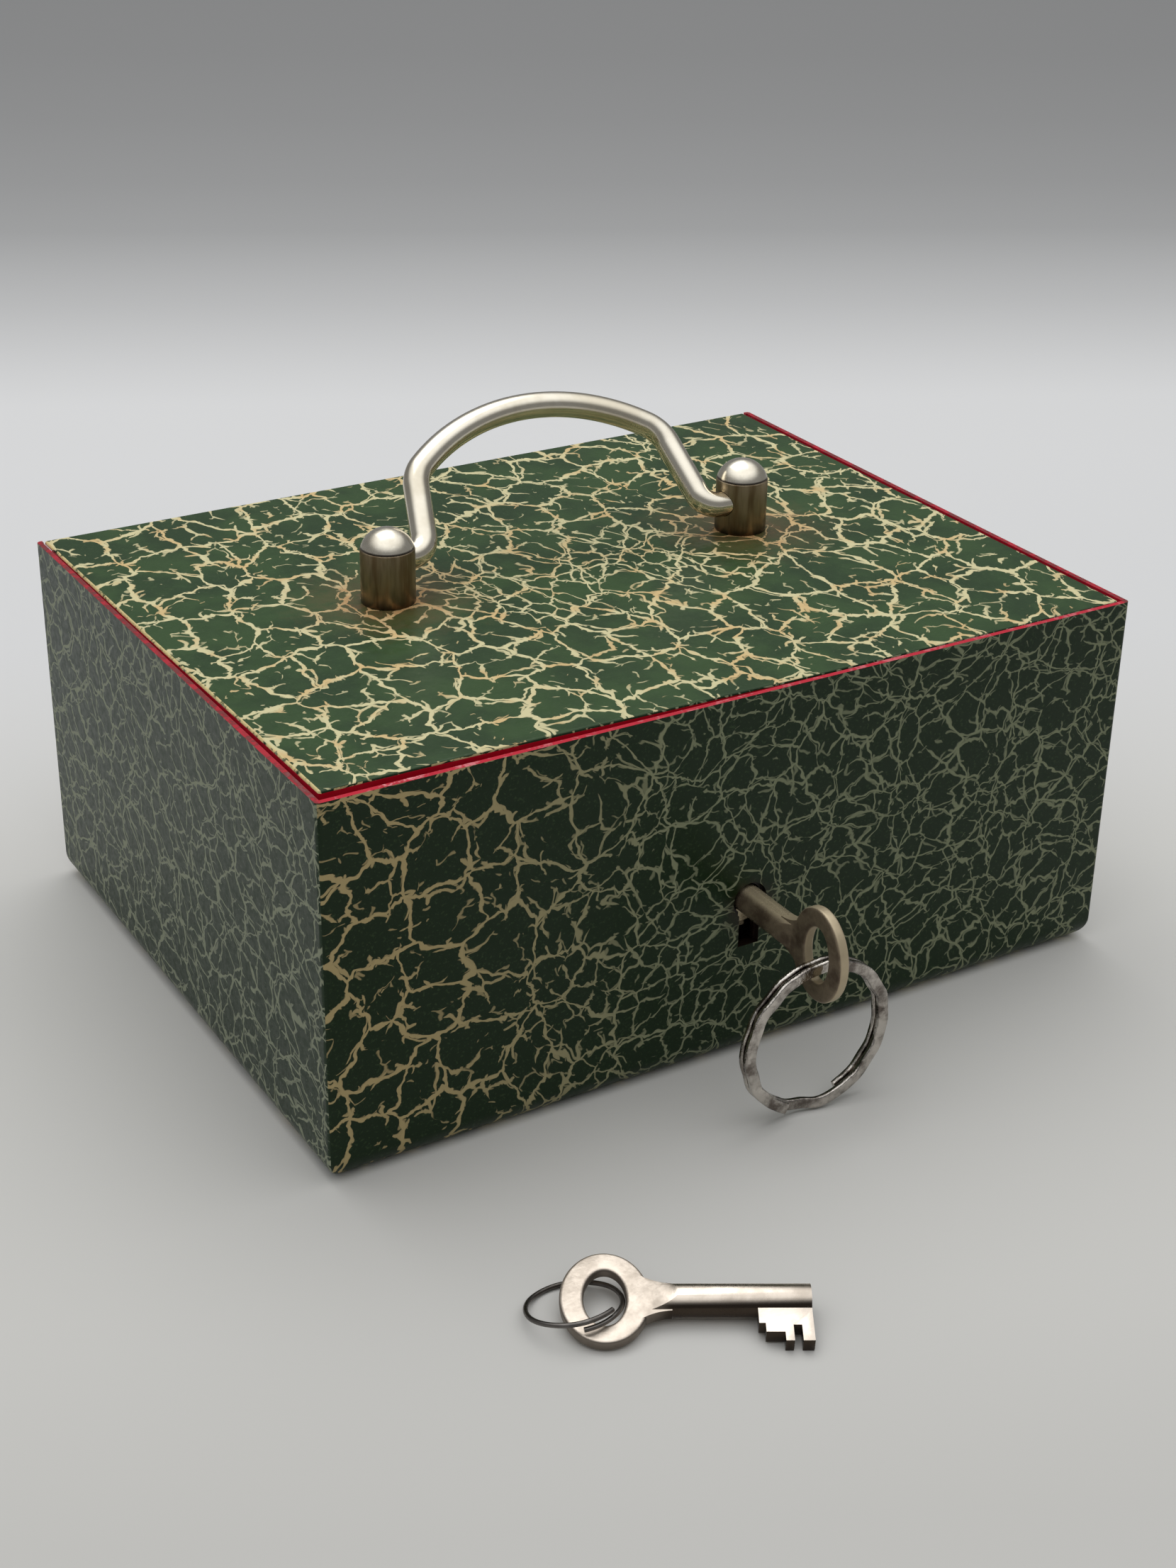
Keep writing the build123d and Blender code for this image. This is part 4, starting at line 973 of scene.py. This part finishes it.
class EnamelSettings(bpy.types.PropertyGroup):
    """Sizes and colours of the crazed enamel and the lacquer."""

    cell_size: FloatProperty(
        name="Crack spacing", description="Usual distance between the main cracks", default=0.0125,
        min=0.002, max=0.05, subtype="DISTANCE", unit="LENGTH",
    )
    crack_width: FloatProperty(
        name="Crack width", description="Width of the widest cracks", default=0.0009,
        min=0.0001, max=0.004, subtype="DISTANCE", unit="LENGTH",
    )
    film_dark: FloatVectorProperty(
        name="Green, dark", description="Darker tone of the green top coat on the lid", subtype="COLOR",
        default=linear(33, 57, 27)[:3], min=0.0, max=1.0,
    )
    film_light: FloatVectorProperty(
        name="Green, light", description="Lighter tone of the green top coat on the lid", subtype="COLOR",
        default=linear(47, 73, 36)[:3], min=0.0, max=1.0,
    )
    # The walls' green is darker than the lid's as painted shade.
    shaded_wall_green: FloatVectorProperty(
        name="Green, walls", description="Tone of the green top coat on the walls", subtype="COLOR",
        default=linear(12, 34, 9)[:3], min=0.0, max=1.0,
    )
    crack_colour: FloatVectorProperty(
        name="Cream", description="The cream undercoat that shows in the cracks", subtype="COLOR",
        default=linear(206, 198, 154)[:3], min=0.0, max=1.0,
    )
    lacquer: FloatVectorProperty(
        name="Red lacquer", description="The rim and the inside", subtype="COLOR",
        default=linear(188, 28, 50)[:3], min=0.0, max=1.0,
    )


class MetalSettings(bpy.types.PropertyGroup):
    """Sizes and colours of the metal pieces."""

    worn_edge: FloatProperty(
        name="Worn edges", description="Rounding of the keys' worn edges", default=0.00018,
        min=0.0, max=0.001, subtype="DISTANCE", unit="LENGTH",
    )
    nickel: FloatVectorProperty(
        name="Nickel", description="Plating of the handle and the posts", subtype="COLOR",
        default=linear(226, 219, 203)[:3], min=0.0, max=1.0,
    )
    key_metal: FloatVectorProperty(
        name="Spare key", description="Metal of the spare key", subtype="COLOR",
        default=linear(216, 204, 190)[:3], min=0.0, max=1.0,
    )
    lock_key_metal: FloatVectorProperty(
        name="Key in the lock", description="Metal of the key in the lock", subtype="COLOR",
        default=linear(130, 116, 96)[:3], min=0.0, max=1.0,
    )
    steel: FloatVectorProperty(
        name="Steel", description="Steel of the split ring", subtype="COLOR",
        default=linear(196, 190, 182)[:3], min=0.0, max=1.0,
    )
    brass: FloatVectorProperty(
        name="Brass", description="Brass of the lock's levers", subtype="COLOR",
        default=linear(206, 170, 96)[:3], min=0.0, max=1.0,
    )


class StageSettings(bpy.types.PropertyGroup):
    """The studio light."""

    overhead_power: FloatProperty(
        name="Overhead light", description="Power of the large light above and behind the box", default=4.2,
        min=0.0, unit="POWER",
    )
    sky_level: FloatProperty(
        name="Sky level", description="Brightness of the soft sky above the stage", default=0.92, min=0.0,
    )


class VALUABLES_OT_enamel(bpy.types.Operator):
    """Finish the box and the lid in crazed green enamel with a red rim"""

    bl_idname = "valuables.enamel"
    bl_label = "Enamel the box and lid"

    def execute(self, context):
        dress(NODES["body_shell"], enamel_material("shell"))
        lid = build_lid()
        dress(lid, enamel_material("lid"))
        finish_piece(lid, "lid", "green_enamel", "lid_panel")
        dress_nodes(
            lacquer_material(), "lid_rest_left", "lid_rest_right", "hinge_leaf_body", "hinge_leaf_lid",
            "lock_plate", "lock_strike",
        )
        return {"FINISHED"}


class VALUABLES_OT_posts(bpy.types.Operator):
    """Turn the two domed posts"""

    bl_idname = "valuables.posts"
    bl_label = "Make the handle posts"

    def execute(self, context):
        nickel = post_material()
        for name, foot, pivot, inner in (
            ("left", POST_LEFT, PIVOT_AT_LEFT, 1), ("right", POST_RIGHT, PIVOT_AT_RIGHT, -1),
        ):
            post = build_post("domed_post_" + name, foot, pivot, inner)
            dress(post, nickel)
            finish_piece(post, "lid", "aged_nickel", "handle_post_" + name)
        return {"FINISHED"}


class VALUABLES_OT_handle(bpy.types.Operator):
    """Bend the rod of the handle"""

    bl_idname = "valuables.handle"
    bl_label = "Make the handle"

    def execute(self, context):
        rod = build_handle()
        nickel = plain(context.scene.valuables_box_metal.nickel)
        dress(rod, metal_material(
            "handle_nickel", nickel, linear(208, 199, 180), (0.15, 0.23), depth=0.000012, Cloud_Scale=60.0,
        ))
        finish_piece(rod, "handle", "bright_nickel", "handle_bail")
        return {"FINISHED"}


# How far from the middle of a key's bow the bow ends and the smooth shank starts, in metres
BOW_END = 0.0105
SHANK_START = 0.0135

# Each key's node, name, body, flat way, bow, metal setting, dull tone, edge tone and metallic value
# The edge tone is a painted highlight on the key in the lock and painted shade on the spare key.
KEYS = (
    ("key", "lock_key", "key", (1.0, 0.0, 0.0), LOCK_KEY_BOW, "lock_key_metal",
     linear(86, 72, 58), linear(204, 188, 156), 0.5),
    ("spare_key", "second_key", "spare_key", (0.0, 0.0, 1.0), SPARE_BOW, "key_metal",
     linear(194, 182, 168), linear(52, 42, 33), 1.0),
)


def key_material(name, flat_way, bow, light, dull, painted_edge_tone, metallic):
    """A cast key: grain and tarnish on its flat faces, edges in a tone of painted light that lightens or
    darkens them, and a smoother shank.
    """
    material, tree, bsdf, texture = new_material(name)
    place = texture["Object"]
    facing = tree.math("ABSOLUTE", tree.vector("DOT_PRODUCT", texture["Normal"], flat_way))
    shank = tree.ramp(tree.vector("DISTANCE", place, bow), BOW_END, SHANK_START)
    used = tree.group(
        metal_group(), Vector=place, Cloud_Scale=170.0, Grain_Scale=1000.0, Gloss_Low=0.40, Gloss_High=0.52,
    )
    # Edges and shank sides take the edge tone: a painted highlight on the key in the lock, painted shade on
    # the spare key.
    edge = tree.times(tree.ramp(facing, 0.45, 0.85, 1.0, 0.0), tree.line(shank, 0.28, 0.68))
    height = tree.times(used["Height"], tree.line(shank, -0.7, 1.0))
    tree.feed(bsdf, {
        "Base Color": tree.mix(edge, tree.mix(used["Tarnish"], plain(light), dull), painted_edge_tone),
        "Metallic": metallic, "Roughness": tree.line(shank, -0.2, used["Roughness"]),
        "Normal": tree.bump(height, 0.6, 0.0001),
    })
    return material


class VALUABLES_OT_keys(bpy.types.Operator):
    """Finish the key in the lock and the spare key, with worn edges"""

    bl_idname = "valuables.keys"
    bl_label = "Make the keys"

    def execute(self, context):
        settings = context.scene.valuables_box_metal
        for node, name, body, flat_way, bow, metal, dull, edge, metallic in KEYS:
            piece = soften(node, name, settings.worn_edge)
            light = getattr(settings, metal)
            dress(piece, key_material(name + "_metal", flat_way, bow, light, dull, edge, metallic))
            finish_piece(piece, body, "key_nickel", node)
        return {"FINISHED"}


class VALUABLES_OT_rings(bpy.types.Operator):
    """Make the split ring and finish the wire ring"""

    bl_idname = "valuables.rings"
    bl_label = "Make the key rings"

    def execute(self, context):
        ring = build_split_ring()
        steel = plain(context.scene.valuables_box_metal.steel)
        dress(ring, metal_material(
            "ring_steel", steel, linear(104, 96, 90), (0.10, 0.24), depth=0.00026, Cloud_Scale=240.0,
            Wave_Scale=230.0, Wave=8.0,
        ))
        finish_piece(ring, "key_ring", "ring_steel", "key_ring")
        wire = metal_material("ring_wire", linear(112, 108, 104), linear(70, 66, 62), (0.25, 0.4))
        dress_nodes(wire, "spare_key_ring")
        return {"FINISHED"}


class VALUABLES_OT_lock(bpy.types.Operator):
    """Finish the lock's works, the hinge pin and the washers"""

    bl_idname = "valuables.lock"
    bl_label = "Finish the lock"

    def execute(self, context):
        steel = metal_material("lock_steel", linear(168, 168, 166), linear(120, 118, 114), (0.28, 0.45))
        zinc = metal_material(
            "zinc_sheet", linear(158, 160, 158), linear(124, 126, 126), (0.3, 0.5), Cloud_Scale=160.0,
        )
        yellow = plain(context.scene.valuables_box_metal.brass)
        brass = metal_material("lever_brass", yellow, linear(160, 122, 60), (0.25, 0.4))
        spring = metal_material("spring_steel", linear(96, 98, 104), linear(66, 66, 72), (0.25, 0.4))
        dress_nodes(
            steel, "hinge_pin", "lock_screws", "ward_plate", "lever_post", "bolt_guides", "post_washers",
            "lock_bolt", "bolt_stump", "drill_pin",
        )
        dress_nodes(zinc, "lock_case")
        dress_nodes(spring, "lever_springs")
        dress_nodes(brass, "lever_1", "lever_2", "lever_3")
        return {"FINISHED"}


class VALUABLES_OT_stage(bpy.types.Operator):
    """Lay the floor and set the light, the world and the camera"""

    bl_idname = "valuables.stage"
    bl_label = "Set the stage"

    def execute(self, context):
        settings = context.scene.valuables_box_stage
        deselect()
        bpy.ops.mesh.primitive_plane_add(size=FLOOR_SIZE, location=(0.0, 0.0, 0.0))
        floor = context.object
        floor.name = "studio_floor"
        dress(floor, floor_material())
        overhead_lamp(settings.overhead_power)
        context.scene.world = studio_world(settings.sky_level)
        context.scene.view_settings.view_transform = "Standard"
        make_camera()
        return {"FINISHED"}


class VALUABLES_PT_panel(bpy.types.Panel):
    """The box's settings and steps in the sidebar"""

    bl_idname = "VALUABLES_PT_panel"
    bl_label = "Valuables Box"
    bl_space_type = "VIEW_3D"
    bl_region_type = "UI"
    bl_category = "Valuables Box"

    def draw(self, context):
        layout = self.layout
        scene = context.scene
        for group in (scene.valuables_box_enamel, scene.valuables_box_metal, scene.valuables_box_stage):
            for name in group.__annotations__:
                layout.prop(group, name)
        for step in STEPS:
            layout.operator(step.bl_idname)


STEPS = (
    VALUABLES_OT_enamel,
    VALUABLES_OT_posts,
    VALUABLES_OT_handle,
    VALUABLES_OT_keys,
    VALUABLES_OT_rings,
    VALUABLES_OT_lock,
    VALUABLES_OT_stage,
)
CLASSES = (EnamelSettings, MetalSettings, StageSettings, *STEPS, VALUABLES_PT_panel)


def register():
    """Register the classes and their settings on the scene."""
    for item in CLASSES:
        bpy.utils.register_class(item)
    bpy.types.Scene.valuables_box_enamel = PointerProperty(type=EnamelSettings)
    bpy.types.Scene.valuables_box_metal = PointerProperty(type=MetalSettings)
    bpy.types.Scene.valuables_box_stage = PointerProperty(type=StageSettings)


def unregister():
    """Take the settings and the classes away again."""
    del bpy.types.Scene.valuables_box_enamel
    del bpy.types.Scene.valuables_box_metal
    del bpy.types.Scene.valuables_box_stage
    for item in reversed(CLASSES):
        bpy.utils.unregister_class(item)


def main():
    """Register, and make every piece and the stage."""
    register()
    for step in STEPS:
        category, name = step.bl_idname.split(".")
        getattr(getattr(bpy.ops, category), name)()
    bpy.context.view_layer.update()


if __name__ == "__main__":
    main()
